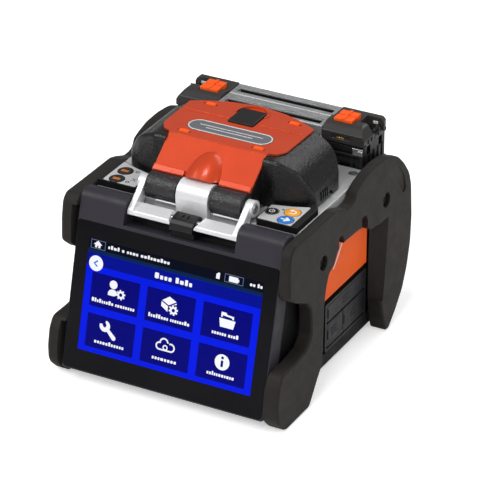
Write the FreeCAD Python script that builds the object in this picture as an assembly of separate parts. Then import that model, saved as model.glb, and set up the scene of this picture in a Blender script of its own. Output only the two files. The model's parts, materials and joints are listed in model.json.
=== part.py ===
# Fiber fusion splicer, field unit with rubber bumpers, tilting touch monitor, wind hood
# and twin tube heater.
# Frame: +X to the operator's right, +Y away from the operator, +Z up, all in millimetres.
# Origin: on the bench plane; export moves it to the centre of the footprint.
import FreeCAD, Part
import math
import os

Vector = FreeCAD.Vector
os.makedirs("parts", exist_ok=True)

# ---------------------------------------------------------------- driving dimensions
BODY_HALF_X = 62.5        # half width of the moulded case
PANEL_HALF_X = 64.5       # half width over the side panels
BUMPER_INNER_X = 64.7
BUMPER_OUTER_X = 75.0     # outer face at bench level
BUMPER_LEAN = 1.0 / 25.0  # the right outer face leans in by this much per millimetre of height
CASE_BOTTOM = 2.5         # underside of the tray above the bench
CASE_SPLIT = 12.0         # split between lower tray and main case
CASE_TOP = 100.0          # top of the main case, under the metal deck
CASE_REAR = 76.0
WALL = 2.5
DECK_FRONT = -41.0
DECK_TOP = 105.4
SIDE_REAR = 46.0          # rear end of the deck and the port bezel

GLASS_W, GLASS_H = 128.0, 87.3
MONITOR_TILT = 14.5               # lean of the monitor, degrees from vertical
GLASS_TOP = (0.0, -61.0, 93.0)    # middle of the glass's top edge
MONITOR_DEPTH = 13.0
MONITOR_TOP = 18.0                # housing above the glass
CASE_GAP, CAVITY_GAP = 15.0, 17.6  # case front and its cavity, square behind the glass

HINGE_Y, HINGE_Z = -37.5, 112.5   # pivot of the hood and monitor arms
HINGE_RADIUS = 3.0
KNUCKLE_RADIUS = 7.5              # hood knuckles
BRACKET_RADIUS = 8.2              # nose of the hinge bracket
BRACKET_GAP_X = 11.2              # half width of the hood's opening round the bracket
ROD_Y, ROD_Z = -51.5, 102.7       # monitor tilt rod
ROD_RADIUS = 1.5
RUN = 0.05                        # radial running clearance
FOOTPRINT_Y = 3.5551              # centre of the footprint in the modelling frame
EPS = 0.01                        # small overshoot or clearance

KEY_TOP = 109.3                   # keypad housing top
HOOD_TOP = 134.0
COVER_THICK = 1.2                 # orange cover plates on the hood
COVER_TOP = HOOD_TOP + COVER_THICK
COVER_GAP = 0.02                  # between the hood and its cover
COVER_BOTTOM = HOOD_TOP + COVER_GAP

SPLICE_Y = 8.0                    # fibre line, parallel to X
ELECTRODE_Z = 112.0

SIDES = (-1, 1)                   # left and right, or front and rear
BOSSES = [(-54, -56), (54, -56), (-54, 68), (54, 68)]           # tray screws, x and y
DECK_SCREWS = [(-30, -20), (30, -20), (-58, 40), (58, 40)]      # x and y
BUMPER_SCREWS = [(-23.4, 80.9), (56.4, 84.0)]                   # y and z
BUMPER_SCREW_SEAT = BUMPER_INNER_X + 3.0


# ---------------------------------------------------------------- helpers
# An outline is a list of corners (a, b) or (a, b, rounding radius).
def box(x0, x1, y0, y1, z0, z1):
    return Part.makeBox(x1 - x0, y1 - y0, z1 - z0, Vector(x0, y0, z0))


def cyl(start, axis, radius, length):
    return Part.makeCylinder(radius, length, Vector(*start), Vector(*axis))


def cyl_x(y, z, radius, x0, x1):
    return cyl((x0, y, z), (1, 0, 0), radius, x1 - x0)


def cyl_z(x, y, radius, z0, z1):
    return cyl((x, y, z0), (0, 0, 1), radius, z1 - z0)


def span(side, near, far):
    """Ordered pair of coordinates, near and far measured outwards on one side."""
    return sorted((side * near, side * far))


def rounded_wire(outline, place):
    """Closed wire through an outline; place maps a flat vector to space."""
    count = len(outline)
    corners = []
    for i, (a, b, *rounding) in enumerate(outline):
        radius = rounding[0] if rounding else 0
        corner = Vector(a, b, 0)
        back = Vector(*outline[i - 1][:2]) - corner
        ahead = Vector(*outline[(i + 1) % count][:2]) - corner
        angle = back.getAngle(ahead)
        if radius <= 0 or abs(angle - math.pi) < 1e-3:
            corners.append((corner, None, corner))
            continue
        # a radius too large for its neighbouring edges is reduced
        slope = math.tan(angle / 2)
        reach = min(radius / slope, back.Length * 0.49, ahead.Length * 0.49)
        radius = reach * slope
        back.normalize()
        ahead.normalize()
        middle = back + ahead
        middle.normalize()
        depth = radius / math.sin(angle / 2) - radius
        corners.append((corner + back * reach, corner + middle * depth, corner + ahead * reach))
    edges = []
    for i, (start, middle, end) in enumerate(corners):
        if middle is not None:
            edges.append(Part.Arc(place(start), place(middle), place(end)).toShape())
        following = corners[(i + 1) % count][0]
        if (following - end).Length > 1e-6:
            edges.append(Part.makeLine(place(end), place(following)))
    return Part.Wire(edges)


def prism_x(outline, x0, x1):
    wire = rounded_wire(outline, lambda p: Vector(x0, p.x, p.y))
    return Part.Face(wire).extrude(Vector(x1 - x0, 0, 0))


def prism_y(outline, y0, y1):
    wire = rounded_wire(outline, lambda p: Vector(p.x, y0, p.y))
    return Part.Face(wire).extrude(Vector(0, y1 - y0, 0))


def prism_z(outline, z0, z1):
    wire = rounded_wire(outline, lambda p: Vector(p.x, p.y, z0))
    return Part.Face(wire).extrude(Vector(0, 0, z1 - z0))


def rectangle(a0, a1, b0, b1, r):
    return [(a0, b0, r), (a1, b0, r), (a1, b1, r), (a0, b1, r)]


# boxes whose four edges along the named axis are rounded by r
def rbox_x(x0, x1, y0, y1, z0, z1, r):
    return prism_x(rectangle(y0, y1, z0, z1, r), x0, x1)


def rbox_y(x0, x1, y0, y1, z0, z1, r):
    return prism_y(rectangle(x0, x1, z0, z1, r), y0, y1)


def rbox_z(x0, x1, y0, y1, z0, z1, r):
    return prism_z(rectangle(x0, x1, y0, y1, r), z0, z1)


def mirror_outline(half, middle=()):
    """Outline symmetrical about x = 0, from its +X half and any corners on the middle."""
    return half + list(middle) + [(-x, *rest) for x, *rest in reversed(half)]


def on_plane(edge, axis, value):
    low = getattr(edge.BoundBox, axis + "Min")
    high = getattr(edge.BoundBox, axis + "Max")
    return abs(low - value) < 1e-3 and abs(high - value) < 1e-3


def edges_at(axis, *values):
    """Selector of the edges lying in any of the planes axis = value."""
    return lambda edge: any(on_plane(edge, axis, value) for value in values)


def fillet(shape, radii, pick):
    """Rounds the picked edges with the first radius that gives a valid solid."""
    edges = [e for e in shape.Edges if pick(e)]
    if not edges:
        return shape
    for radius in radii:
        # a radius too large for the edges raises, and the next one is tried
        try:
            result = shape.makeFillet(radius, edges)
            if (result.isValid() and result.Volume > 0
                    and len(result.Solids) == len(shape.Solids)):
                return result
        except Exception:
            pass
    return shape


def chamfer(shape, size, pick):
    edges = [e for e in shape.Edges if pick(e)]
    if not edges:
        return shape
    # a chamfer that cannot be built leaves the edges sharp
    try:
        result = shape.makeChamfer(size, edges)
        if result.isValid() and result.Volume > 0:
            return result
    except Exception:
        pass
    return shape


def cut(shape, *tools):
    for tool in tools:
        shape = shape.cut(tool)
    return shape


def mirrored(shape):
    """Mirror image across the YZ plane."""
    return shape.mirror(Vector(0, 0, 0), Vector(1, 0, 0))


def group(*shapes):
    return Part.makeCompound([solid for shape in shapes for solid in shape.Solids])


def both_sides(shape):
    return group(shape, mirrored(shape))


def largest_solid(shape):
    return max(shape.Solids, key=lambda solid: solid.Volume)


def hexagon(radius):
    """Closed ring of seven flat points, the last on the first."""
    return [(radius * math.cos(k * math.pi / 3), radius * math.sin(k * math.pi / 3))
            for k in range(7)]


def socket_screw(seat, axis, radius, head_radius, length, head_height):
    """Screw with a hexagon socket: seat is under the head, axis points along the shank."""
    axis = Vector(*axis)
    top = Vector(*seat) - axis * head_height
    body = cyl(seat, axis, radius, length).fuse(cyl(top, axis, head_radius, head_height))
    ring = [Vector(a, b, 0) for a, b in hexagon(head_radius * 0.45)]
    socket = Part.Face(Part.makePolygon(ring)).extrude(Vector(0, 0, head_height * 0.6))
    socket.Placement = FreeCAD.Placement(top, FreeCAD.Rotation(Vector(0, 0, 1), axis))
    return body.cut(socket)


MONITOR_PLACE = FreeCAD.Placement(
    Vector(*GLASS_TOP), FreeCAD.Rotation(Vector(1, 0, 0), -MONITOR_TILT))


def on_monitor(shape):
    """Places a shape built in the monitor's frame: Y back from the glass, Z up from its top."""
    shape = shape.copy()
    shape.Placement = MONITOR_PLACE.multiply(shape.Placement)
    return shape


def front_y(z, gap=CASE_GAP):
    """y at height z of a plane parallel to the glass, gap behind it."""
    tilt = math.radians(MONITOR_TILT)
    return GLASS_TOP[1] + gap / math.cos(tilt) + (z - GLASS_TOP[2]) * math.tan(tilt)


parts = {}

# ---------------------------------------------------------------- lower tray
TRIPOD = (0, 5)       # x and y of the tripod insert


def lower_tray():
    front = front_y(CASE_BOTTOM)
    floor = CASE_BOTTOM + WALL
    below, above = CASE_BOTTOM - 1, CASE_SPLIT + 1
    tray = rbox_z(-PANEL_HALF_X, PANEL_HALF_X, front + 1.0, CASE_REAR, CASE_BOTTOM, CASE_SPLIT, 5)
    tray = fillet(tray, [3.0, 2.0], edges_at("Z", CASE_BOTTOM))
    inner_x = PANEL_HALF_X - WALL
    tray = cut(tray, rbox_z(-inner_x, inner_x, front + 4.0, CASE_REAR - WALL, floor, above, 4))
    for x, y in BOSSES:
        tray = tray.fuse(cyl_z(x, y, 4.5, floor - 0.2, CASE_SPLIT))
    for x, y in BOSSES:
        tray = cut(tray, cyl_z(x, y, 1.75, below, above),
                   cyl_z(x, y, 3.3, below, CASE_BOTTOM + 2.6))
    # tripod insert seat
    tray = tray.fuse(cyl_z(*TRIPOD, 9.0, floor - 0.2, CASE_SPLIT))
    tray = cut(tray, cyl_z(*TRIPOD, 6.0, below, above))
    # louvres in the underside
    for k in range(6):
        y = -44 + 5 * k
        tray = cut(tray, rbox_z(-26, 26, y, y + 2, below, floor + 1, 0.95))
    return tray.removeSplitter()


def tripod_insert():
    bore = 3.1
    bottom = CASE_BOTTOM + 0.2
    insert = cut(cyl_z(*TRIPOD, 5.95, bottom, CASE_SPLIT),
                 cyl_z(*TRIPOD, bore, CASE_BOTTOM - 1, CASE_SPLIT + 1))
    return chamfer(insert, 0.4, lambda e: on_plane(e, "Z", bottom)
                   and abs(e.Length - 2 * math.pi * bore) < 0.1)


parts["lower_tray"] = lower_tray()
parts["tripod_insert"] = tripod_insert()
parts["tray_screws"] = group(*[
    socket_screw((x, y, CASE_BOTTOM + 2.6), (0, 0, 1), 1.5, 2.9, 18.0, 1.6) for x, y in BOSSES])


# ---------------------------------------------------------------- main case
def main_case():
    outer = [(front_y(CASE_SPLIT), CASE_SPLIT), (CASE_REAR, CASE_SPLIT), (CASE_REAR, CASE_TOP),
             (DECK_FRONT, CASE_TOP), (DECK_FRONT, 92.0), (front_y(88), 88.0)]
    case = prism_x(outer, -BODY_HALF_X, BODY_HALF_X)
    # upright rear corners
    case = fillet(case, [5.0, 3.0], lambda e: e.BoundBox.YMin > CASE_REAR - 0.01
                  and abs(e.BoundBox.XMin) > BODY_HALF_X - 0.01 and e.BoundBox.ZLength > 60)
    rear, top, bottom = CASE_REAR - WALL, CASE_TOP - WALL, CASE_SPLIT - 1
    cavity = [(front_y(CASE_SPLIT, CAVITY_GAP), bottom), (rear, bottom), (rear, top),
              (DECK_FRONT + WALL, top), (DECK_FRONT + WALL, 93.5),
              (front_y(89, CAVITY_GAP), 89.5)]
    inner_x = BODY_HALF_X - WALL
    case = cut(case, prism_x(cavity, -inner_x, inner_x))
    # opening under the splice unit, port window on the right, battery opening at the rear
    case = cut(case, box(-8.5, 8.5, -3.5, 19.5, CASE_TOP - 5, CASE_TOP + 1))
    case = cut(case, box(inner_x - 1, BODY_HALF_X + 1, -4.0, 44.0, 14.0, 41.0))
    through = (rear - 1, CASE_REAR + 1)
    case = cut(case, rbox_y(-48.3, 22.3, *through, 13.7, 46.3, 2))
    # rear wall slots, beside and above the battery
    for k in range(7):
        z = 18 + 5 * k
        case = cut(case, rbox_y(32, 54, *through, z, z + 2, 0.95))
        z = 58 + 4.5 * k
        case = cut(case, rbox_y(-50, 20, *through, z, z + 2, 0.95))
    # screw bosses webbed to the side walls
    for x, y in BOSSES:
        z0, z1 = CASE_SPLIT + 0.1, 26.0
        wall_x = math.copysign(inner_x + 0.3, x)
        web = box(*sorted((x, wall_x)), y - 1.5, y + 1.5, z0, z1)
        case = cut(case.fuse(cyl_z(x, y, 4.0, z0, z1).fuse(web)),
                   cyl_z(x, y, 1.5, CASE_SPLIT - 0.1, 24.2))
    case = case.removeSplitter()
    for y, z in BUMPER_SCREWS:
        case = cut(case, cyl_x(y, z, 1.8, 58.0, 66.0), cyl_x(y, z, 1.8, -66.0, -58.0))
    for x, y in DECK_SCREWS:
        case = cut(case, cyl_z(x, y, 1.55, 90, 101))
    return case


def side_panel():
    """Right-hand panel."""
    outline = [(-32.0, 46.0, 2), (46.6, 46.0, 1.5), (46.6, 97.0, 1.5), (-32.0, 97.0, 4)]
    panel = prism_x(outline, BODY_HALF_X, PANEL_HALF_X)
    panel = chamfer(panel, 0.7, edges_at("X", PANEL_HALF_X))
    for y, z in BUMPER_SCREWS:
        panel = cut(panel, cyl_x(y, z, 1.8, 58.0, 66.0))
    return panel


parts["main_case"] = main_case()
parts["side_panels"] = both_sides(side_panel())

# ---------------------------------------------------------------- ports on the right side
DOOR_X0, DOOR_X1 = 62.9, 64.5
DOOR_HINGE_X = 63.7
DOOR_EYE_RADIUS, DOOR_PIN_RADIUS = 0.8, 0.4
LOWER_DOOR_Z, UPPER_DOOR_Z = 14.2, 30.4
# y0, y1, z0, z1
DOORS = {
    "upper_port_door": (-4.0, 43.8, UPPER_DOOR_Z, 41.2),
    "front_port_door": (-4.0, 16.0, LOWER_DOOR_Z, 29.6),
    "rear_port_door": (16.6, 43.8, LOWER_DOOR_Z, 29.6),
}


def port_pins():
    return [cyl((DOOR_HINGE_X, -5.2, z + DOOR_EYE_RADIUS), (0, 1, 0), DOOR_PIN_RADIUS, 50.2)
            for z in (LOWER_DOOR_Z, UPPER_DOOR_Z)]


def port_bezel():
    bezel = rbox_x(BODY_HALF_X, PANEL_HALF_X + 0.1, -6.2, SIDE_REAR, 12.2, 43.2, 1.5)
    opening = rbox_x(BODY_HALF_X - 1, PANEL_HALF_X + 1, -4.4, 44.2, 13.8, 41.6, 0.8)
    return cut(bezel, opening, *port_pins())


def port_door(y0, y1, z0, z1):
    """Door plate with a hinge eye along its lower edge, around a pin parallel to Y."""
    hinge_z = z0 + DOOR_EYE_RADIUS
    door = rbox_x(DOOR_X0, DOOR_X1, y0, y1, hinge_z, z1, 0.5)
    door = chamfer(door, 0.3, lambda e: on_plane(e, "X", DOOR_X1) and e.BoundBox.ZMax > z1 - 0.6)
    # three short horizontal ribs and an upright one near the front edge
    mid_y, mid_z = (y0 + y1) / 2, (z0 + z1) / 2 + 0.3
    for k in range(3):
        z = mid_z - 2.4 + 2.0 * k
        door = door.fuse(rbox_x(DOOR_X1 - 0.1, DOOR_X1 + 0.25, mid_y - 3.5, mid_y + 3.5,
                                z, z + 0.8, 0.3))
    door = door.fuse(rbox_x(DOOR_X1 - 0.1, DOOR_X1 + 0.5, y0 + 1.2, y0 + 2.2,
                            mid_z - 3, mid_z + 3, 0.4))
    eye = cyl((DOOR_HINGE_X, y0 + 1.0, hinge_z), (0, 1, 0), DOOR_EYE_RADIUS, y1 - y0 - 2.0)
    door = door.fuse(eye).removeSplitter()
    # both ends of the eye are cut back
    for end in ((y0 - 1, y0 + 1.0), (y1 - 1.0, y1 + 1)):
        door = cut(door, box(DOOR_X0 - 1, DOOR_X1 + 1, *end, z0, hinge_z + 0.9))
    bore = DOOR_PIN_RADIUS + RUN
    return cut(door, cyl((DOOR_HINGE_X, y0 - 1, hinge_z), (0, 1, 0), bore, y1 - y0 + 2))


def connector_module():
    x0, x1 = 56, 61.5    # depth of the rectangular sockets
    module = box(50.0, 60.8, -2.0, 42.0, 15.5, 40.0)
    module = cut(module,
                 rbox_x(x0, x1, 3, 17, 33, 39, 0.6),
                 rbox_x(x0, x1, 24, 33, 33.5, 37, 0.6),
                 cyl_x(6, 22, 3.2, 54, 62),
                 rbox_x(x0, x1, 21, 36, 19, 26, 0.6))
    # centre pin of the round socket
    return module.fuse(cyl_x(6, 22, 1.0, 54, 60)).removeSplitter()


parts["port_bezel"] = port_bezel()
parts["port_door_pins"] = group(*port_pins())
for name, extent in DOORS.items():
    parts[name] = port_door(*extent)
parts["connector_module"] = connector_module()

# ---------------------------------------------------------------- bumpers
# y, z, rounding radius; from the top edge forwards and down, round both legs and back
BUMPER_OUTLINE = [
    (-9.0, 106.2, 12), (-44.0, 106.2, 60), (-56.8, 106.4, 6), (-61.4, 102.6, 8),
    (-63.4, 91.5, 30), (-64.0, 77.8, 3.5), (-57.5, 72.0, 12), (-43.5, 65.0, 8),
    (-39.6, 60.0, 8), (-39.4, 43.0, 7), (-46.0, 37.0, 10), (-60.0, 35.4, 30),
    (-75.5, 35.6, 6), (-80.2, 28.5, 12), (-82.4, 18.0, 14), (-82.2, 8.0, 9),
    (-74.0, 0.0, 7), (-45.0, 0.0, 5), (-39.6, 6.0, 12), (-34.0, 12.5, 12),
    (-28.6, 18.0, 8), (-26.4, 26.0, 20), (-25.0, 40.0, 40), (-23.2, 54.5, 30),
    (-20.3, 64.0, 20), (-16.5, 70.8, 6), (-10.6, 73.0, 5), (-5.0, 80.0, 5),
    (2.4, 81.4, 10), (23.4, 80.4, 10), (31.9, 77.2, 10), (36.5, 73.6, 8),
    (47.0, 72.8, 2.5), (47.2, 44.0, 30), (47.6, 20.0, 20), (49.5, 9.0, 10),
    (52.5, 0.0, 4), (57.0, 0.0, 4), (66.0, 7.2, 12), (76.0, 17.2, 20),
    (82.8, 29.4, 25), (87.8, 44.0, 30), (90.0, 59.0, 30), (90.0, 80.0, 20),
    (87.6, 88.6, 16), (80.6, 97.6, 20), (73.5, 104.2, 16), (59.5, 110.4, 20),
    (46.5, 111.7, 30), (33.8, 111.2, 30), (24.4, 108.8, 25), (18.8, 106.6, 4),
    (16.2, 102.0, 3), (12.0, 100.8, 5), (6.0, 101.0, 6), (-3.5, 104.6, 12),
]
# y, z, rounding radius of two notches in the top of the opening
BUMPER_NOTCHES = [
    [(-4.3, 76.0), (2.4, 76.0), (2.4, 83.0, 3), (0.4, 87.4, 1.2), (-4.3, 88.0, 1.6)],
    [(24.5, 76.0), (31.9, 73.5), (31.9, 83.0, 3), (30.2, 86.4, 1.2), (24.5, 86.9, 1.6)],
]
# y, z, rounding radius
THUMB_HOLLOW = [(63.0, 103.0, 3), (72.0, 99.4, 8), (79.6, 90.6, 10), (82.4, 80.0, 2),
                (78.4, 78.6, 2), (70.6, 88.4, 10), (61.6, 97.6, 3)]


def rear_leg_flare():
    """Splays the inner wall of the rear leg, wider towards the top."""
    front_face = 46.0
    sections = []
    for z, outer_y in ((22.0, 49.6), (72.8, 64.0)):
        corners = [(64.0, front_face), (64.0, 47.3), (76.0, outer_y), (76.0, front_face),
                   (64.0, front_face)]
        sections.append(Part.makePolygon([Vector(x, y, z) for x, y in corners]))
    return Part.makeLoft(sections, True, True)


def bumper_body(outer_x, lean):
    """Right bumper, outer face at outer_x on the bench, leaning in by lean per mm of height."""
    bumper = prism_x(BUMPER_OUTLINE, BUMPER_INNER_X, outer_x + 1.0)
    slab = [(60.0, -1.0), (outer_x + lean, -1.0), (outer_x - 115.0 * lean, 115.0), (60.0, 115.0)]
    bumper = bumper.common(prism_y(slab, -100.0, 100.0))

    def on_outer_face(edge):
        points = [vertex.Point for vertex in edge.Vertexes]
        points.append(edge.valueAt((edge.FirstParameter + edge.LastParameter) / 2))
        return all(abs(p.x - (outer_x - p.z * lean)) < 2e-3 for p in points)

    bumper = fillet(bumper, [3.0, 2.6, 2.2, 1.8, 1.4, 1.0, 0.6], on_outer_face)
    bumper = fillet(bumper, [0.8, 0.5, 0.3], edges_at("X", BUMPER_INNER_X))
    bumper = cut(bumper, rear_leg_flare())
    for notch in BUMPER_NOTCHES:
        bumper = cut(bumper, prism_x(notch, 60, 80))
    # hollow in the outer face, at the upper rear corner
    bumper = cut(bumper, prism_x(THUMB_HOLLOW, outer_x - 90.0 * lean - 0.5, 80.0))
    for y, z in BUMPER_SCREWS:
        bumper = cut(bumper, cyl((BUMPER_SCREW_SEAT, y, z), (1, 0, 0), 4.6, 20),
                     cyl((BUMPER_INNER_X - 1, y, z), (1, 0, 0), 1.9, 10))
    return bumper


def left_bumper(outer_x):
    """Stands upright and is relieved on its inner face beside the monitor."""
    bumper = bumper_body(outer_x, 0.0)
    for z0, z1 in ((73.6, 101.0), (3.0, 33.6)):
        bumper = cut(bumper, box(60.0, BUMPER_SCREW_SEAT, -90.0, -53.0, z0, z1))
    return mirrored(bumper)


parts["right_bumper"] = bumper_body(BUMPER_OUTER_X, BUMPER_LEAN)
# the left bumper reaches as far out as the widest meshed point of the right one
widest_x = max(point.x for point in parts["right_bumper"].tessellate(0.05)[0])
parts["left_bumper"] = left_bumper(widest_x)
parts["bumper_screws"] = group(*[
    both_sides(socket_screw((BUMPER_SCREW_SEAT, y, z), (-1, 0, 0), 1.8, 3.4, 6.2, 2.0))
    for y, z in BUMPER_SCREWS])

# ---------------------------------------------------------------- metal deck
DECK_SEAT = DECK_TOP - 1.9   # under the deck screw heads


def top_deck():
    deck = rbox_z(-64.2, 64.2, DECK_FRONT, SIDE_REAR, CASE_TOP, DECK_TOP, 2.5)
    deck = fillet(deck, [0.6], edges_at("Z", DECK_TOP))
    # step down the middle, optics well, room for the hinge bracket
    deck = cut(deck, box(-36.0, 36.0, -14.0, 40.0, 102.4, 106))
    deck = cut(deck, box(-14.2, 14.2, SPLICE_Y - 16.2, SPLICE_Y + 16.2, 99, 106))
    deck = cut(deck, box(-10.3, 10.3, -42, -28.7, 99, 106))
    # fibre grooves
    for side in SIDES:
        deck = cut(deck, cyl((side * 34.5, SPLICE_Y, 107.0), (side, 0, 0), 2.5, 40))
    deck = cut(deck, cyl_x(HINGE_Y, HINGE_Z, KNUCKLE_RADIUS + 0.3, -31.2, 31.2))
    for x, y in DECK_SCREWS:
        deck = cut(deck, cyl_z(x, y, 1.6, 99, 106.5), cyl_z(x, y, 3.0, DECK_SEAT, 106.5))
    return deck.removeSplitter()


parts["top_deck"] = top_deck()
parts["deck_screws"] = group(*[
    socket_screw((x, y, DECK_SEAT), (0, 0, -1), 1.5, 2.8, 6.5, 1.7) for x, y in DECK_SCREWS])

# ---------------------------------------------------------------- hinge bracket and shaft
SHAFT_HALF_X = 36.5


def hinge_bracket():
    half_x = 10.0
    bottom = CASE_TOP + 0.1
    foot = [(HINGE_Y - 7.4, bottom), (HINGE_Y + 6.0, bottom),
            (HINGE_Y + BRACKET_RADIUS, HINGE_Z), (HINGE_Y - BRACKET_RADIUS, HINGE_Z)]
    nose = cyl_x(HINGE_Y, HINGE_Z, BRACKET_RADIUS, -half_x, half_x)
    bracket = prism_x(foot, -half_x, half_x).fuse(nose).removeSplitter()
    bracket = cut(bracket, cyl_x(HINGE_Y, HINGE_Z, HINGE_RADIUS, -11, 11))
    on_end = edges_at("X", half_x, -half_x)
    return fillet(bracket, [0.5, 0.3], lambda e: on_end(e) and e.BoundBox.ZMax > HINGE_Z + 5)


def hinge_shaft():
    shaft = cyl_x(HINGE_Y, HINGE_Z, HINGE_RADIUS, -SHAFT_HALF_X, SHAFT_HALF_X)
    shaft = chamfer(shaft, 0.4, edges_at("X", SHAFT_HALF_X, -SHAFT_HALF_X))
    ring = [Vector(SHAFT_HALF_X - 1.1, HINGE_Y + a, HINGE_Z + b) for a, b in hexagon(1.5)]
    socket = Part.Face(Part.makePolygon(ring)).extrude(Vector(3, 0, 0))
    return cut(shaft, socket, mirrored(socket))


parts["hinge_bracket"] = hinge_bracket()
parts["hinge_shaft"] = hinge_shaft()

# ---------------------------------------------------------------- keypads
# right-hand outlines: x, y, rounding radius
KEYPAD_OUTLINE = [(38.2, -41.4, 1.2), (63.7, -41.4, 1.2), (63.7, -13.7, 1.2), (50.0, -19.4, 8),
                  (38.2, -22.6, 1.2)]
LABEL_OUTLINE = [(38.9, -40.7, 0.8), (59.8, -40.7, 0.8), (59.8, -16.0, 0.8), (50.0, -20.1, 8),
                 (38.9, -23.2, 0.8)]
# x, y, radius
BUTTONS = {
    "power_button": (42.7, -30.2, 3.4),
    "confirm_button": (54.1, -35.9, 4.5),
    "cancel_button": (53.6, -26.4, 4.5),
    "front_heater_button": (-52.9, -36.6, 4.6),
    "rear_heater_button": (-53.3, -26.2, 4.6),
}


def keypad(side):
    """Housing and inset label of one keypad."""
    outline, label_outline = [[(side * x, y, r) for x, y, r in table]
                              for table in (KEYPAD_OUTLINE, LABEL_OUTLINE)]
    label_bottom = KEY_TOP - 0.5
    housing = prism_z(outline, DECK_TOP, KEY_TOP)
    housing = cut(housing, prism_z(label_outline, label_bottom, KEY_TOP + 1))
    label = prism_z(label_outline, label_bottom, KEY_TOP + 0.2)
    for x, y, radius in BUTTONS.values():
        if x * side > 0:
            hole = radius + 0.15
            housing = cut(housing, cyl_z(x, y, hole, DECK_TOP + 1.0, KEY_TOP + 1))
            label = cut(label, cyl_z(x, y, hole, KEY_TOP - 2, KEY_TOP + 2))
    return housing, label


def button(x, y, radius):
    top = KEY_TOP + 0.55
    return fillet(cyl_z(x, y, radius, DECK_TOP + 1.9, top), [0.3], edges_at("Z", top))


keypad_housings, keypad_labels = zip(keypad(1), keypad(-1))
parts["keypad_housings"] = group(*keypad_housings)
parts["keypad_labels"] = group(*keypad_labels)
for name, button_size in BUTTONS.items():
    parts[name] = button(*button_size)

# ---------------------------------------------------------------- hood
# The sloped plate at the front rises rearwards through (RAMP_Y, RAMP_Z) with RAMP_SLOPE.
RAMP_Y, RAMP_Z, RAMP_SLOPE = -34.0, 120.0, 0.777
RAMP_LENGTH = math.hypot(1, RAMP_SLOPE)     # along the slope per millimetre of y
RAMP_FOOT_Y = -34.4
RAMP_HALF_X = 30.9
RAMP_SLOT_X = RAMP_HALF_X + 0.05
BULGE_LENGTH, BULGE_RADIUS, BULGE_DEPTH = 22.5, 13.0, 7.0
BULGE_OVERLAP = 1.2                         # how far the bulge runs back past its centre


def ramp_z(y, depth=0.0):
    """Height of the sloped plate's outer face at y, or of a plane that deep below it."""
    return RAMP_Z + RAMP_SLOPE * (y - RAMP_Y) - depth * RAMP_LENGTH


def ramp_y(z, depth=0.0):
    """y at which the same plane reaches height z."""
    return RAMP_Y + (z - RAMP_Z + depth * RAMP_LENGTH) / RAMP_SLOPE


def dome(inset, front, back, bottom, top):
    """Domed box, drawn in at the sides by inset."""
    elevation = mirror_outline([
        (59.6 - inset, bottom), (59.2 - inset, 115.0, 12),
        (51.0 - 0.8 * inset, 128.4 - 0.6 * inset, 18), (38.6 - 0.3 * inset, top, 14)])
    plan = mirror_outline([
        (38, front, 8), (50, front + 3.6, 14), (60 - inset, front + 9.0, 9),
        (59.8 - inset, back - 20.0, 7), (54.5 - inset, back - 13.6, 6),
        (40.8 - 0.4 * inset, back - 12.0, 6), (18.5, back - 3.0, 30)], [(0, back, 30)])
    profile = prism_y(elevation, front - 5, back + 5)
    return profile.common(prism_z(plan, bottom - 1, top + 5))


def hinge_clearances(knuckle_gap):
    return (cyl_x(HINGE_Y, HINGE_Z, KNUCKLE_RADIUS + knuckle_gap, -RAMP_SLOT_X, RAMP_SLOT_X),
            cyl_x(HINGE_Y, HINGE_Z, BRACKET_RADIUS + 1.0, -BRACKET_GAP_X, BRACKET_GAP_X))


def hood_shell():
    def front_edge(edge):
        bounds = edge.BoundBox
        upright = bounds.XLength < 0.01 and bounds.YLength < 0.01
        return bounds.ZMax > 112 and bounds.YMax < -5 and not upright and bounds.ZMin > 106.5

    wall = 2.6
    outside = dome(0.0, -20.0, 38.5, 106.0, HOOD_TOP)
    outside = fillet(outside, [2.8, 2.4, 2.0, 1.5, 1.0], front_edge)
    inside = dome(wall, -17.2, 38.5 - wall, 103.0, HOOD_TOP - wall)
    # hollow tongue reaching forwards to the hinge, under the sloped plate
    top_y = ramp_y(HOOD_TOP, COVER_THICK)
    tongue = prism_x([(-33.6, ramp_z(-33.6, COVER_THICK)), (-31.5, 108.0), (-12.0, 108.0),
                      (-12.0, HOOD_TOP), (top_y, HOOD_TOP)], -RAMP_HALF_X, RAMP_HALF_X)
    tongue_inside = prism_x([(-28.6, 110.5), (-10.0, 110.5), (-10.0, 131.0),
                             (top_y + 1.0, 131.0), (-28.6, ramp_z(-28.6, 4.2))], -28.4, 28.4)
    shell = cut(outside.fuse(tongue), inside, tongue_inside)
    shell = cut(shell, *hinge_clearances(0.01))
    shell = cut(shell, box(-BRACKET_GAP_X, BRACKET_GAP_X, -40, -19.5, 100, 116.0))
    # everything above the underside of the sloped plate
    shell = cut(shell, prism_x([(-46.0, ramp_z(-46.0, COVER_THICK)),
                                (2.0, ramp_z(2.0, COVER_THICK)), (2.0, 170.0),
                                (-46.0, 170.0)], -RAMP_SLOT_X, RAMP_SLOT_X))
    # fibre notches in the side walls
    for side in SIDES:
        shell = cut(shell, cyl((side * 50, SPLICE_Y, 106.0), (side, 0, 0), 3.2, 20))
    return largest_solid(shell)


def hood_knuckle():
    x0, x1 = 10.9, 30.3
    knuckle = cyl_x(HINGE_Y, HINGE_Z, KNUCKLE_RADIUS, x0, x1)
    knuckle = fillet(knuckle, [0.5], edges_at("X", x0, x1))
    return cut(knuckle, cyl_x(HINGE_Y, HINGE_Z, HINGE_RADIUS + RUN, 10, 31))


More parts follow.
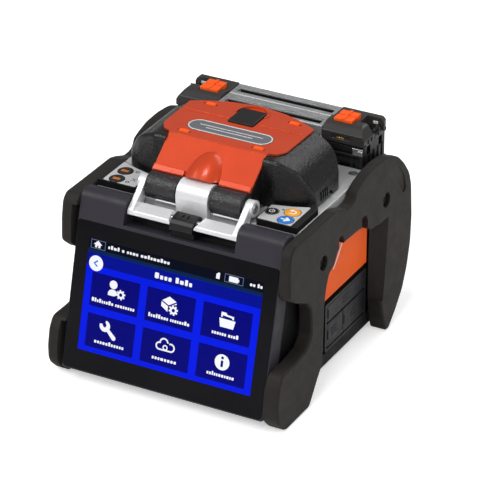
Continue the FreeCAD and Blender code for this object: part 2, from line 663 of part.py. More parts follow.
def cover_plates():
    """Top plate and sloped front plate."""
    half_plan = [(31.0, -15.2), (32.2, -13.0, 1), (36.2, -11.8, 3), (39.4, -6.0, 5),
                 (40.0, 25.4, 1.2), (30.4, 30.4, 20), (18.0, 34.9, 20)]
    top = prism_z(mirror_outline(half_plan, [(0.0, 37.7, 20)]), COVER_BOTTOM, COVER_TOP)
    depth = COVER_THICK - COVER_GAP
    front = prism_x([(RAMP_FOOT_Y, ramp_z(RAMP_FOOT_Y)), (-33.6, ramp_z(-33.6, depth)),
                     (ramp_y(COVER_BOTTOM, depth), COVER_BOTTOM), (-12.0, COVER_BOTTOM),
                     (-12.0, COVER_TOP), (ramp_y(COVER_TOP), COVER_TOP)],
                    -RAMP_HALF_X, RAMP_HALF_X)
    return top.fuse(front)


def ramp_bulge():
    """Egg-shaped bulge below the slope over the hinge bracket, revolved about a sloping axis."""
    cosine = 1.0 / RAMP_LENGTH
    uphill = Vector(0, cosine, cosine * RAMP_SLOPE)
    inward = Vector(0, cosine * RAMP_SLOPE, -cosine)
    centre = Vector(0, RAMP_FOOT_Y, ramp_z(RAMP_FOOT_Y)) + inward * BULGE_DEPTH
    points = []
    for k in range(15):
        along = (-BULGE_OVERLAP
                 + (BULGE_LENGTH + BULGE_OVERLAP) * math.sin(math.pi / 2 * k / 14))
        radius = BULGE_RADIUS * math.sqrt(max(0.0, 1 - (along / BULGE_LENGTH) ** 2))
        points.append(centre - inward * radius + uphill * along)
    curve = Part.BSplineCurve()
    curve.interpolate(points)
    foot = centre - uphill * BULGE_OVERLAP
    wire = Part.Wire([curve.toShape(), Part.makeLine(points[-1], foot),
                      Part.makeLine(foot, points[0])])
    egg = Part.Face(wire).revolve(centre, uphill, 360)
    below_ramp = [(-60, ramp_z(-60)), (10, ramp_z(10)), (10, 60), (-60, 60)]
    return cut(egg, prism_x(below_ramp, -20, 20))


def hood_cover():
    base, over = HOOD_TOP - EPS, COVER_TOP + 1
    cover = cover_plates().fuse(ramp_bulge())
    cover = cut(cover, *hinge_clearances(0.02))
    # finger tab opening, pairs of narrow slots and the nameplate recess
    cover = cut(cover, rbox_z(-8.4, 8.4, 11.2, 30.2, base, over, 1.0))
    for x, y in ((-27, 26.8), (27, 26.8), (-23.7, -10.6), (23.7, -10.6)):
        cover = cut(cover, rbox_z(x - 4.2, x - 3.4, y - 1.2, y + 1.2, base, over, 0.3),
                    rbox_z(x + 3.4, x + 4.2, y - 1.2, y + 1.2, base, over, 0.3))
    cover = cut(cover, rbox_z(-26.9, 26.9, -6.9, 7.1, COVER_TOP - 0.5, over, 6.95))
    # raised lip along the front edge, open in the middle
    lip = prism_x([(RAMP_FOOT_Y, ramp_z(RAMP_FOOT_Y, 0.3)), (-34.75, ramp_z(-34.75, -0.75), 0.3),
                   (-32.0, ramp_z(-32.0, -0.75), 0.5), (-31.4, ramp_z(-31.4, 0.3))],
                  -RAMP_HALF_X, RAMP_HALF_X)
    cover = cover.fuse(cut(lip, box(-14.0, 14.0, -60, 0, 100, 140)))
    # raised arch behind the finger tab, round a thinned area
    arch = rbox_z(-10.1, 10.1, 12.0, 35.6, COVER_TOP - 0.2, COVER_TOP + 0.95, 10.05)
    arch = cut(arch, rbox_z(-9.0, 9.0, 8.0, 34.5, COVER_TOP - 0.5, COVER_TOP + 2, 8.95),
               box(-12, 12, 5, 24.0, COVER_TOP - 1, COVER_TOP + 2))
    thinned = rbox_z(-9.0, 9.0, 12.0, 34.5, HOOD_TOP + 0.45, over, 8.95)
    cover = cut(cover, thinned.common(box(-10, 10, 24.5, 40, HOOD_TOP, COVER_TOP + 2)))
    cover = cover.fuse(arch)
    # ribs from the tab out to both sides
    for side in SIDES:
        cover = cover.fuse(rbox_y(*span(side, 9.0, 37.6), 15.2, 16.1,
                                  COVER_TOP - 0.2, COVER_TOP + 0.45, 0))
    return largest_solid(cover.removeSplitter())


def finger_tab():
    top = COVER_TOP + 1.0
    return fillet(rbox_z(-8.1, 8.1, 11.5, 29.9, COVER_BOTTOM, top, 1.0), [0.6, 0.4],
                  edges_at("Z", top))


def hood_lamps():
    lamps = box(-12, 12, 0, 18, 129.2, 130.8)
    for side in SIDES:
        lamps = lamps.fuse(cyl_z(side * 7, SPLICE_Y, 2.2, 126.0, 129.3))
    return lamps.removeSplitter()


parts["hood_shell"] = hood_shell()
parts["hood_knuckles"] = both_sides(hood_knuckle())
parts["hood_cover"] = hood_cover()
parts["nameplate"] = rbox_z(-26.6, 26.6, -6.6, 6.8, COVER_TOP - 0.5, COVER_TOP + 0.05, 6.65)
parts["finger_tab"] = finger_tab()
parts["hood_lamps"] = hood_lamps()

# ---------------------------------------------------------------- monitor, in its own frame
HOUSING_SPLIT = 7.0     # y between front frame and rear case


def monitor_housing():
    half_x, bottom = GLASS_W / 2 + 0.6, -GLASS_H - 1.0
    housing = prism_x([(0, bottom, 1.0), (0, MONITOR_TOP, 7.0), (MONITOR_DEPTH, MONITOR_TOP, 3.0),
                       (MONITOR_DEPTH, bottom, 3.0)], -half_x, half_x)
    housing = fillet(housing, [1.2, 0.8], edges_at("X", half_x, -half_x))
    # wide notch in the top edge
    return cut(housing, rbox_y(-35.4, 35.4, -2, MONITOR_DEPTH + 2, 2.0, MONITOR_TOP + 4, 0))


def monitor_front_frame(housing):
    frame = housing.common(box(-80, 80, -3, HOUSING_SPLIT, -100, 40))
    glass_x = GLASS_W / 2 + 0.05
    return cut(frame, rbox_y(-glass_x, glass_x, -1, 1.3, -GLASS_H - 0.05, 0.05, 2.0),
               rbox_y(-57.3, 57.3, 1.0, HOUSING_SPLIT + 1, -78.2, -9.6, 0))


def monitor_rear_case(housing):
    case = housing.common(box(-80, 80, HOUSING_SPLIT, 30, -100, 40))
    case = cut(case, rbox_y(-58, 58, HOUSING_SPLIT - 1, MONITOR_DEPTH - 1.8, -80, -4, 2))
    for k in range(8):
        z = -30 - 4 * k
        case = cut(case, rbox_y(-30, 30, MONITOR_DEPTH - 3, MONITOR_DEPTH + 1, z, z + 1.6, 0.75))
    return case


def monitor_knuckle():
    knuckle = prism_x([(4.6, 2.02, 0.3), (4.6, 5.4, 0.8), (1.2, 6.2, 0.8), (1.2, 10.2, 1.5),
                       (2.6, 12.4, 1.5), (9.4, 15.6, 2.0), (12.2, 14.0, 1.5), (12.0, 2.02, 0.3)],
                      -7.2, 7.2)
    for side in SIDES:
        knuckle = cut(knuckle, box(side * 1.6 - 0.45, side * 1.6 + 0.45, 3.4, 7.4, 12.9, 17))
    return cut(on_monitor(knuckle), cyl_x(ROD_Y, ROD_Z, ROD_RADIUS + RUN, -9, 9))


housing = monitor_housing()
parts["monitor_front_frame"] = on_monitor(monitor_front_frame(housing))
parts["monitor_rear_case"] = on_monitor(monitor_rear_case(housing))
parts["touch_glass"] = on_monitor(rbox_y(-GLASS_W / 2, GLASS_W / 2, 0.0, 1.2, -GLASS_H, 0.0, 2.0))
parts["display_panel"] = on_monitor(rbox_y(-57, 57, 1.35, 4.8, -78, -9.8, 0))
parts["monitor_knuckle"] = monitor_knuckle()


# ---------------------------------------------------------------- monitor support arms
def monitor_arm():
    """Right arm: a bar along the tilt rod and an arm up to the hinge shaft."""
    outer_x = 35.0
    bar = prism_x([(-56.8, 100.4, 0.8), (-56.4, 103.4, 1.2), (-47.6, 105.6, 1.0),
                   (-46.2, 100.6, 0.8)], 7.6, outer_x)
    # sloping relief at the inner end
    bar = cut(bar, prism_y([(5.0, 102.2), (7.6, 102.2), (11.6, 106.8), (5.0, 106.8)],
                           -60.0, -40.0))
    arm = prism_x([(-56.6, 100.8, 0.8), (-56.3, 103.6, 2), (-47.0, 110.5, 6),
                   (HINGE_Y - 2.5, HINGE_Z + 4.3, 3), (HINGE_Y + 2.0, HINGE_Z + 4.4, 4),
                   (HINGE_Y + 4.4, HINGE_Z - 1.0, 4), (HINGE_Y - 2.0, HINGE_Z - 4.6, 4),
                   (-46.2, 100.6, 3)], 31.4, outer_x)
    arm = arm.fuse(cyl_x(HINGE_Y, HINGE_Z, 4.9, 31.4, 36.2))
    arm = bar.fuse(arm).removeSplitter()
    arm = cut(arm, cyl_x(HINGE_Y, HINGE_Z, HINGE_RADIUS + RUN, 30, 38),
              cyl_x(ROD_Y, ROD_Z, ROD_RADIUS + 0.01, 6, 31.0))
    return fillet(arm, [0.5, 0.3], lambda e: on_plane(e, "X", outer_x) and e.Length > 3)


parts["monitor_arms"] = both_sides(monitor_arm())
parts["tilt_rod"] = cyl_x(ROD_Y, ROD_Z, ROD_RADIUS, -30.8, 30.8)

# ---------------------------------------------------------------- tube heater
HEATER_HALF_X = 61.0
HEATER_Y0, HEATER_Y1 = 46.5, 75.5
HEATER_TOP = 118.0
CHANNELS_Y = (53.0, 68.2)
FRONT_PIN_Y, REAR_PIN_Y, LID_PIN_Z = 47.9, 74.1, 119.6
LID_PINS_Y = (FRONT_PIN_Y, REAR_PIN_Y)
LID_PIN_RADIUS = 0.8
LID_EAR_RADIUS = 1.35
FRONT_LID_Y = (46.8, 60.2)
REAR_LID_Y = (61.0, 74.4)
FRONT_TAB_Y = (53.8, 60.2)
REAR_TAB_Y = (61.0, 66.4)
LID_BOTTOM, LID_TOP = 121.2, 127.0
LID_END_X = (34.2, 61.3)      # end blocks of the lids
LID_END_BOTTOM = 118.3


def heater_housing():
    housing = rbox_z(-HEATER_HALF_X, HEATER_HALF_X, HEATER_Y0, HEATER_Y1, CASE_TOP, HEATER_TOP, 2.0)
    housing = cut(housing, *[box(-35, 35, y - 4.8, y + 4.8, 108.0, 119) for y in CHANNELS_Y])
    for y in CHANNELS_Y:
        housing = cut(housing, rbox_x(-62, 62, y - 2.2, y + 2.2, 112.5, 119, 1.0))
    # shallow recesses in the front face
    for side in SIDES:
        housing = cut(housing, box(*span(side, 40, 56), HEATER_Y0 - 1, HEATER_Y0 + 1.4,
                                   104.5, 108.0))
        housing = cut(housing, box(*span(side, 38, 58), HEATER_Y0 - 1, HEATER_Y0 + 0.9,
                                   110.5, 115.0))
    housing = housing.removeSplitter()
    # ears that carry the hinge pins
    r = LID_EAR_RADIUS
    for y in LID_PINS_Y:
        for x in (-15, 15):
            ear = box(x - 3.2, x + 3.2, y - r, y + r, HEATER_TOP - 0.2, LID_PIN_Z)
            housing = housing.fuse(ear.fuse(cyl_x(y, LID_PIN_Z, r, x - 3.2, x + 3.2)))
    housing = housing.removeSplitter()
    return cut(housing, *[cyl_x(y, LID_PIN_Z, LID_PIN_RADIUS, -64, 64) for y in LID_PINS_Y])


def heater_channel(y):
    channel = rbox_x(-34.6, 34.6, y - 4.6, y + 4.6, 108.2, 117.4, 1.0)
    return cut(channel, cyl_x(y, 114.6, 3.2, -36, 36), box(-36, 36, y - 3.2, y + 3.2, 114.6, 119))


def lid_plate(lid_y, pin_y, skirt_y, slot_y):
    """Silver plate with a viewing slot, a skirt on its free side and hinge ears."""
    plate = box(-34.0, 34.0, *lid_y, LID_BOTTOM, LID_TOP)
    plate = chamfer(plate, 0.5, edges_at("Z", LID_TOP))
    plate = plate.fuse(box(-34.0, 34.0, *skirt_y, HEATER_TOP + 0.15, LID_BOTTOM + 0.1))
    y0, y1 = slot_y
    plate = cut(plate, rbox_z(-31.2, 31.2, y0, y1, LID_TOP - 4.6, LID_TOP + 1, 0.8))
    plate = cut(plate, rbox_z(-32.2, 32.2, y0 - 0.9, y1 + 0.9, LID_TOP - 0.6, LID_TOP + 1, 0.8))
    # fibre relief on the underside
    plate = cut(plate, cyl_x((y0 + y1) / 2, HEATER_TOP, 1.2, -35, 35))
    r = LID_EAR_RADIUS
    for x in (-24, 0, 24):
        plate = plate.fuse(box(x - 4, x + 4, pin_y - r, pin_y + r, LID_PIN_Z, LID_BOTTOM + 0.2))
        plate = plate.fuse(cyl_x(pin_y, LID_PIN_Z, r, x - 4, x + 4))
    return cut(plate.removeSplitter(), cyl_x(pin_y, LID_PIN_Z, LID_PIN_RADIUS + RUN, -40, 40))


def finish_lid_end(block, pin_y, slot_y0, slot_y1):
    """Cuts the seat of the finger tab and the pin bore."""
    block = cut(block, box(37.6, 50.4, slot_y0, slot_y1, 126.6, 131))
    return cut(block.removeSplitter(), cyl_x(pin_y, LID_PIN_Z, LID_PIN_RADIUS + RUN, 30, 62))


def front_lid_end():
    (y0, y1), top = FRONT_LID_Y, 128.6
    x0, x1 = LID_END_X
    block = prism_x([(y0 - 0.2, LID_PIN_Z), (y0 - 0.2, 125.1, 0.8), (y0 + 5.6, top, 8),
                     (y1, top, 0.5), (y1, LID_END_BOTTOM, 0.5), (FRONT_PIN_Y, LID_END_BOTTOM),
                     (FRONT_PIN_Y, LID_PIN_Z)], x0, x1)
    block = block.common(prism_y([(x0, 117.0), (x1, 117.0), (x1, 122.6, 2.0), (57.4, top, 3.0),
                                  (x0, top)], y0 - 3, y1 + 3))
    block = block.fuse(cyl_x(FRONT_PIN_Y, LID_PIN_Z, 1.3, x0, x1))
    block = cut(block, box(51.2, 62, y1 - 1.6, y1 + 1, 122.5, 131))
    block = cut(block, box(40.0, 52.0, y0 - 1, y0 + 0.6, 121.0, 123.6))
    return finish_lid_end(block, FRONT_PIN_Y, FRONT_TAB_Y[0], FRONT_TAB_Y[1] + EPS)


def rear_lid_end():
    (y0, y1), top = REAR_LID_Y, 127.3
    x0, x1 = LID_END_X
    block = box(x0, x1, y0, y1 + 0.2, LID_PIN_Z, top)
    block = block.fuse(box(x0, x1, y0, REAR_PIN_Y, LID_END_BOTTOM, LID_PIN_Z + 0.1))
    block = block.fuse(cyl_x(REAR_PIN_Y, LID_PIN_Z, 1.3, x0, x1))
    # bevel along the outer top edge, step in the outer front corner
    block = cut(block, prism_y([(59.6, 131), (59.6, top), (x1, 125.6), (63, 125.6), (63, 131)],
                               y0 - 2, y1 + 2))
    block = cut(block, box(51.2, 62, y0 - 1, y0 + 10.2, 120.5, 131))
    return finish_lid_end(block, REAR_PIN_Y, *REAR_TAB_Y)


def lid_tab(seat_y0, seat_y1):
    """Orange finger tab with a ridge across it."""
    y0, y1 = seat_y0 + 0.15, seat_y1 - 0.1
    tab = rbox_z(37.9, 49.6, y0, y1, 126.65, 129.9, 0.6)
    return tab.fuse(rbox_z(43.0, 44.6, y0, y1, 129.0, 130.6, 0.3)).removeSplitter()


parts["heater_housing"] = heater_housing()
parts["heater_elements"] = group(*[heater_channel(y) for y in CHANNELS_Y])
parts["heater_hinge_pins"] = group(*[
    cyl_x(y, LID_PIN_Z, LID_PIN_RADIUS, -56, 56) for y in LID_PINS_Y])
parts["front_heater_lid"] = lid_plate(
    FRONT_LID_Y, FRONT_PIN_Y, skirt_y=(FRONT_PIN_Y + 2.2, FRONT_LID_Y[1]), slot_y=(49.6, 54.4))
parts["rear_heater_lid"] = lid_plate(
    REAR_LID_Y, REAR_PIN_Y, skirt_y=(REAR_LID_Y[0], REAR_PIN_Y - 2.2), slot_y=(65.2, 70.0))
parts["front_lid_ends"] = both_sides(front_lid_end())
parts["rear_lid_ends"] = both_sides(rear_lid_end())
parts["front_lid_tabs"] = both_sides(lid_tab(*FRONT_TAB_Y))
parts["rear_lid_tabs"] = both_sides(lid_tab(*REAR_TAB_Y))

# ---------------------------------------------------------------- splice unit under the hood
TRUNNION_Y, TRUNNION_Z, TRUNNION_RADIUS = 15.2, 109.2, 0.8    # sheath clamps


def splice_unit_base():
    base = box(-14.0, 14.0, SPLICE_Y - 16, SPLICE_Y + 16, CASE_TOP + 0.02, 106.5)
    base = base.fuse(box(-8.0, 8.0, -3.0, 19.0, 97.0, 100.1)).removeSplitter()
    base = cut(base, box(-5.0, 5.0, -9, 25, 104.0, 107), cyl_z(0, SPLICE_Y, 4.0, 96, 108))
    for side in SIDES:
        base = base.fuse(box(*span(side, 5.4, 12), 3.0, 13.0, 106.3, 108.0))
    return base.removeSplitter()


def v_groove_block():
    block = box(6.0, 11.4, 5.0, 11.0, 108.02, 112.4)
    groove = [(SPLICE_Y - 0.6, 112.6), (SPLICE_Y, 111.7), (SPLICE_Y + 0.6, 112.6)]
    return cut(block, prism_x(groove, -13, 13))


def electrode(side):
    """Pointed rod aimed at the splice point, from the front (-1) or the rear (1)."""
    point_y = SPLICE_Y + side * 1.2
    tip = Part.makeCone(0.05, 0.8, 3.0, Vector(0, point_y, ELECTRODE_Z), Vector(0, side, 0))
    rod = cyl((0, point_y + side * 3.0, ELECTRODE_Z), (0, side, 0), 0.8, 8.0)
    return tip.fuse(rod).removeSplitter()


def electrode_clamp(side):
    y0, y1 = sorted((SPLICE_Y + side * 6.2, SPLICE_Y + side * 14.0))
    clamp = box(-4.6, 4.6, y0, y1, 106.0, 114.4)
    clamp = clamp.fuse(box(-4.6, 4.6, y0, y1, 104.02, 106.1))
    clamp = cut(clamp, cyl((0, SPLICE_Y + side * 4, ELECTRODE_Z), (0, side, 0), 0.85, 12))
    return clamp.fuse(cyl_z(0, SPLICE_Y + side * 10.0, 1.9, 114.3, 117.0)).removeSplitter()


def fiber_stage():
    """Right stage with a sheath groove and two posts that carry the clamp's trunnions."""
    stage = box(15.6, 33.4, -1.0, 17.0, 102.5, 107.6)
    stage = stage.fuse(box(15.6, 33.4, 13.2, 17.0, 107.4, 111.0)).removeSplitter()
    return cut(stage, cyl_x(SPLICE_Y, 107.8, 0.9, 14, 35),
               cyl_x(TRUNNION_Y, TRUNNION_Z, TRUNNION_RADIUS + RUN, 14, 35),
               box(19.0, 30.0, 12.9, 17.5, 107.7, 112))


def sheath_clamp():
    """Right clamp: a small lid with a lifting nose and its own trunnions."""
    lid = box(19.2, 29.8, 0.0, TRUNNION_Y, 107.9, 110.2)
    lid = lid.fuse(cyl_x(TRUNNION_Y, TRUNNION_Z, 1.3, 19.2, 29.8))
    lid = lid.fuse(box(22.0, 27.0, -2.2, 0.2, 108.6, 110.2))
    lid = lid.fuse(cyl_x(TRUNNION_Y, TRUNNION_Z, TRUNNION_RADIUS, 16.2, 32.8))
    return lid.removeSplitter()


parts["splice_unit_base"] = splice_unit_base()
parts["v_groove_blocks"] = both_sides(v_groove_block())
parts["electrodes"] = group(*[electrode(side) for side in SIDES])
parts["electrode_clamps"] = group(*[electrode_clamp(side) for side in SIDES])
parts["right_fiber_stage"] = fiber_stage()
parts["left_fiber_stage"] = mirrored(fiber_stage())
parts["right_sheath_clamp"] = sheath_clamp()
parts["left_sheath_clamp"] = mirrored(sheath_clamp())


# ---------------------------------------------------------------- inside the case
def camera_modules():
    """Two tubes splayed down to the front and rear, each with a camera block at its end."""
    tubes, cameras = [], []
    for side in SIDES:
        start = Vector(0, SPLICE_Y + side * 4.4, 92.0)
        axis = Vector(0, side * 0.42, -1)
        axis.normalize()
        tubes.append(cyl(start, axis, 4.2, 17.0))
        camera = Part.makeBox(14, 12, 7, Vector(-7, -6, 0))
        camera.Placement = FreeCAD.Placement(
            start + axis * 17.2, FreeCAD.Rotation(Vector(0, 0, 1), axis))
        cameras.append(camera)
    return group(*tubes, *cameras)


def feed_motor():
    motor = cyl_x(SPLICE_Y, 91.0, 5.5, 36.0, 54.0)
    return motor.fuse(cyl_x(SPLICE_Y, 91.0, 1.5, 31.0, 36.2)).removeSplitter()


def main_board():
    """Circuit board with two rounded blocks on it."""
    board = box(-56, 44, -30, 66, 62.0, 63.6)
    board = board.fuse(rbox_z(-50, -18, 30, 62, 63.5, 82.0, 2))
    return board.fuse(rbox_z(10, 30, 34, 54, 63.5, 72.0, 1)).removeSplitter()


def battery_pack():
    rear = 79.4
    pack = rbox_y(-48, 22, 0.0, 75.9, 14.0, 46.0, 1.8)
    pack = pack.fuse(rbox_y(-51.0, 25.0, 76.1, rear, 12.6, 48.6, 3.0))
    pack = pack.fuse(rbox_y(-46, 20, 75.0, 77.0, 16, 44, 1.8)).removeSplitter()
    pack = fillet(pack, [1.0], edges_at("Y", rear))
    return cut(pack, rbox_y(-22.2, -7.8, 77.2, 81, 36.2, 47.6, 1.0))


def battery_latch():
    latch = rbox_y(-22.0, -8.0, 77.25, 79.8, 36.4, 43.4, 0.9)
    for k in range(3):
        z = 37.8 + 1.8 * k
        latch = latch.fuse(box(-20.5, -9.5, 79.7, 80.3, z, z + 0.8))
    return latch.removeSplitter()


parts["camera_modules"] = camera_modules()
parts["feed_motors"] = both_sides(feed_motor())
parts["main_board"] = main_board()
parts["battery_pack"] = battery_pack()
parts["battery_latch"] = battery_latch()

# ---------------------------------------------------------------- export
for name, shape in sorted(parts.items()):
    solids = shape.Solids
    part = solids[0].copy() if len(solids) == 1 else Part.makeCompound(solids)
    part.translate(Vector(0, -FOOTPRINT_Y, 0))
    part.exportStep("parts/%s.step" % name)
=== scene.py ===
"""Looks of a portable bench instrument: a rubber-bumpered case with a tilted front monitor,
keypads on the deck, a hinged hood with an orange cover, and two lidded bays behind it.

Frame: metres, +X right, -Y front (the monitor side), +Z up, floor just under z = 0.
Shapes are given in drawing millimetres and placed by the on_* functions.
"""
import json
import math
import random

import bmesh
import bpy
from mathutils import Matrix, Vector


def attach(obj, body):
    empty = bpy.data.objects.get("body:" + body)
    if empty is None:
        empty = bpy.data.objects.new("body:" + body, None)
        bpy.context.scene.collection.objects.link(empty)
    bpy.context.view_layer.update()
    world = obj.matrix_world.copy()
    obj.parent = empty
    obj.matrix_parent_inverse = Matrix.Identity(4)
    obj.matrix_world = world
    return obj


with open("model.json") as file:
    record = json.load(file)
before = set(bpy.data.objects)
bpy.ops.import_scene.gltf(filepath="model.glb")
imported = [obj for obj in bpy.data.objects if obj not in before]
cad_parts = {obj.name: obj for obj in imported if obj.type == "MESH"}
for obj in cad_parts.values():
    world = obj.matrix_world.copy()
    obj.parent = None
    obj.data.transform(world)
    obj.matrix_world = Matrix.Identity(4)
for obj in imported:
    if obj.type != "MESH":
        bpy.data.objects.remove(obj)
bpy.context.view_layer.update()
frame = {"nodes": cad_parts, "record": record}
NODES = frame["nodes"]
scene = bpy.context.scene
MM = 0.001
DATUM_Y = 3.5551     # mm, the drawing origin lies this far in front (-Y) of the frame origin

# ---------------------------------------------------------------- shader helpers
materials = {}       # name asked for -> material


def srgb(rgb):
    """8-bit display colour to linear RGBA."""
    linear = []
    for value in rgb:
        value = value / 255.0
        linear.append(value / 12.92 if value <= 0.04045 else ((value + 0.055) / 1.055) ** 2.4)
    return tuple(linear) + (1.0,)


def scaled(colour, factor):
    return tuple(min(1.0, value * factor) for value in colour[:3]) + (1.0,)


class Shader:
    """A Principled material whose textures run on object coordinates (the frame, in metres)."""

    def __init__(self, name):
        self.material = bpy.data.materials.new(name)
        materials[name] = self.material
        self.material.use_nodes = True
        self.tree = self.material.node_tree
        self.tree.nodes.clear()
        output = self.node("ShaderNodeOutputMaterial")
        self.principled = self.node("ShaderNodeBsdfPrincipled")
        self.feed(output.inputs[0], self.principled.outputs[0])
        self.position = self.node("ShaderNodeTexCoord").outputs["Object"]

    def feed(self, socket, value):
        """Set a socket to a constant, or link another node's output to it."""
        if isinstance(value, (int, float, tuple)):
            socket.default_value = value
        else:
            self.tree.links.new(value, socket)

    def node(self, kind, inputs=None, **settings):
        node = self.tree.nodes.new(kind)
        for setting, value in settings.items():
            setattr(node, setting, value)
        for socket, value in (inputs or {}).items():
            self.feed(node.inputs[socket], value)
        return node

    def put(self, name, value):
        self.feed(self.principled.inputs[name], value)

    def stretched(self, scale):
        return self.node("ShaderNodeMapping", {"Scale": scale, "Vector": self.position}).outputs[0]

    def noise(self, scale, detail=2.0, roughness=0.5, vector=None, distortion=0.0):
        return self.node("ShaderNodeTexNoise", {
            "Scale": scale, "Detail": detail, "Roughness": roughness, "Distortion": distortion,
            "Vector": self.position if vector is None else vector}).outputs["Fac"]

    def remap(self, value, span, to=(0.0, 1.0)):
        inputs = {0: value, 1: span[0], 2: span[1], 3: to[0], 4: to[1]}
        return self.node("ShaderNodeMapRange", inputs, clamp=True).outputs[0]

    def math(self, operation, first, second):
        return self.node("ShaderNodeMath", {0: first, 1: second}, operation=operation).outputs[0]

    def mix(self, factor, first, second):
        inputs = {0: factor, 6: first, 7: second}
        return self.node("ShaderNodeMix", inputs, data_type="RGBA").outputs[2]

    def bevel(self, radius):
        return self.node("ShaderNodeBevel", {"Radius": radius}, samples=4).outputs[0]

    def edge_mask(self, radius):
        """About 1 along convex and concave edges, 0 on flats."""
        rounded_normal = self.bevel(radius)
        flat_normal = self.node("ShaderNodeNewGeometry").outputs["Normal"]
        dot = self.node("ShaderNodeVectorMath", {0: rounded_normal, 1: flat_normal},
                        operation="DOT_PRODUCT")
        return self.remap(dot.outputs["Value"], span=(0.995, 0.80))

    def bump(self, height, strength, distance, normal):
        return self.node("ShaderNodeBump", {
            "Strength": strength, "Distance": distance,
            "Height": height, "Normal": normal}).outputs[0]


def plastic(name, rgb, roughness, grain=0.35, depth=0.03, mottle=0.12, specular=0.5, coat=0.0,
            sheen=0.0, metallic=0.0, wear_and_highlight=None, flecks_and_glints=None, edge=0.3, roughness_swing=0.08):
    """Moulded plastic, rubber, ink or paint.

    grain, depth and edge are the grain size, its height and the shaded edge radius in mm.
    An edge pair lightens the edges (part wear, part painted edge highlight) and a scattered pair
    sets dots (real flecks, and painted glints on the hood, knuckle and orange paint); each is a
    pair of 8-bit colour and amount.
    """
    m = Shader(name)
    colour = srgb(rgb)
    broad = m.noise(scale=38.0, detail=3.0, roughness=0.6)
    fine = m.noise(scale=1000.0 / grain, detail=2.0, roughness=0.55)
    smudge = m.noise(scale=120.0, detail=4.0, roughness=0.65, distortion=0.6)
    base = m.mix(m.remap(broad, span=(0.3, 0.7)),
                 scaled(colour, 1 - mottle), scaled(colour, 1 + mottle))
    # Scattered dots of another colour: real flecks, and on the hood, knuckles and orange paint
    # painted glints of the grain.
    if flecks_and_glints:
        fleck_and_glint_rgb, amount = flecks_and_glints
        dots = m.noise(scale=1000.0 / (grain * 1.1), detail=1.0)
        base = m.mix(m.math("MULTIPLY", m.remap(dots, span=(0.63, 0.72)), amount),
                     base, srgb(fleck_and_glint_rgb))
    # Lighter colour along edges: part edge wear, part painted edge highlight.
    if wear_and_highlight:
        wear_and_highlight_rgb, amount = wear_and_highlight
        patches = m.noise(scale=420.0, detail=3.0, roughness=0.7)
        mask = m.math("MULTIPLY", m.edge_mask(radius=edge * 1.6 * MM),
                      m.remap(patches, span=(0.35, 0.65), to=(0.1, 1.0)))
        base = m.mix(m.math("MULTIPLY", mask, amount), base, srgb(wear_and_highlight_rgb))
    m.put("Base Color", base)
    m.put("Roughness", m.remap(smudge, span=(0.3, 0.7),
                               to=(roughness - roughness_swing, roughness + roughness_swing)))
    m.put("Specular IOR Level", specular)
    m.put("Metallic", metallic)
    if coat:
        m.put("Coat Weight", coat)
        m.put("Coat Roughness", 0.18)
    if sheen:
        m.put("Sheen Weight", sheen)
        m.put("Sheen Roughness", 0.5)
    m.put("Normal", m.bump(fine, strength=0.6, distance=depth * MM, normal=m.bevel(edge * MM)))


def metal(name, rgb, roughness, stretch=(1, 1, 1), scratch=0.25, depth=0.006, cast=0.0,
          mottle=0.06, metallic=1.0):
    """Brushed metal; stretch draws the grain out along an axis, cast adds a blasted skin."""
    edge = 0.25 * MM     # shaded edge radius
    m = Shader(name)
    colour = srgb(rgb)
    streak = m.noise(scale=2600.0, detail=3.0, roughness=0.6, vector=m.stretched(stretch))
    soft = m.noise(scale=55.0, detail=3.0, roughness=0.6)
    base = m.mix(m.remap(streak, span=(0.3, 0.7)),
                 scaled(colour, 1 - mottle), scaled(colour, 1 + mottle))
    dull = m.math("MULTIPLY", m.remap(soft, span=(0.35, 0.7)), 0.12)
    base = m.mix(dull, base, scaled(colour, 0.82))
    # Lighter edges: part edge wear, part painted edge highlight.
    wear_and_highlight = m.math("MULTIPLY", m.edge_mask(radius=edge * 1.5), 0.35)
    base = m.mix(wear_and_highlight, base, scaled(colour, 1.15))
    m.put("Base Color", base)
    m.put("Metallic", metallic)
    m.put("Roughness", m.remap(streak, span=(0.25, 0.75),
                               to=(roughness - scratch * 0.3, roughness + scratch * 0.4)))
    height = streak
    if cast:
        skin = m.noise(scale=2400.0, detail=2.0, roughness=0.6)
        height = m.math("ADD", m.math("MULTIPLY", skin, cast), m.math("MULTIPLY", streak, 0.4))
    m.put("Normal", m.bump(height, strength=0.5, distance=depth * MM, normal=m.bevel(edge)))


def glow(name, rgb):
    """Lit part of the display: fine bands over a slow brightness drift."""
    m = Shader(name)
    colour = srgb(rgb)
    bands = m.node("ShaderNodeTexWave", {"Scale": 1400.0, "Vector": m.position}).outputs["Fac"]
    drift = m.noise(scale=14.0)
    level = m.math("ADD", m.math("MULTIPLY", bands, 0.05),
                   m.remap(drift, span=(0.3, 0.7), to=(0.90, 1.0)))
    light = m.node("ShaderNodeVectorMath", {0: colour[:3], "Scale": level}, operation="SCALE")
    m.put("Base Color", scaled(colour, 0.04))
    m.put("Emission Color", light.outputs[0])
    m.put("Emission Strength", 1.0)
    m.put("Roughness", m.remap(m.noise(scale=300.0, detail=3.0, roughness=0.6),
                               span=(0.3, 0.7), to=(0.12, 0.2)))
    m.put("Specular IOR Level", 0.06)


def black_glass(name):
    m = Shader(name)
    m.put("Base Color", m.mix(m.remap(m.noise(scale=20.0), span=(0.3, 0.7)),
                              srgb((16, 16, 19)), srgb((21, 20, 23))))
    smear = m.noise(scale=70.0, detail=5.0, roughness=0.7, vector=m.stretched((1, 1, 2.5)),
                    distortion=1.2)
    m.put("Roughness", m.remap(smear, span=(0.35, 0.75), to=(0.10, 0.20)))
    m.put("Specular IOR Level", 0.08)
    m.put("Normal", m.bump(m.noise(scale=900.0), strength=0.05, distance=0.002 * MM,
                           normal=m.bevel(0.35 * MM)))
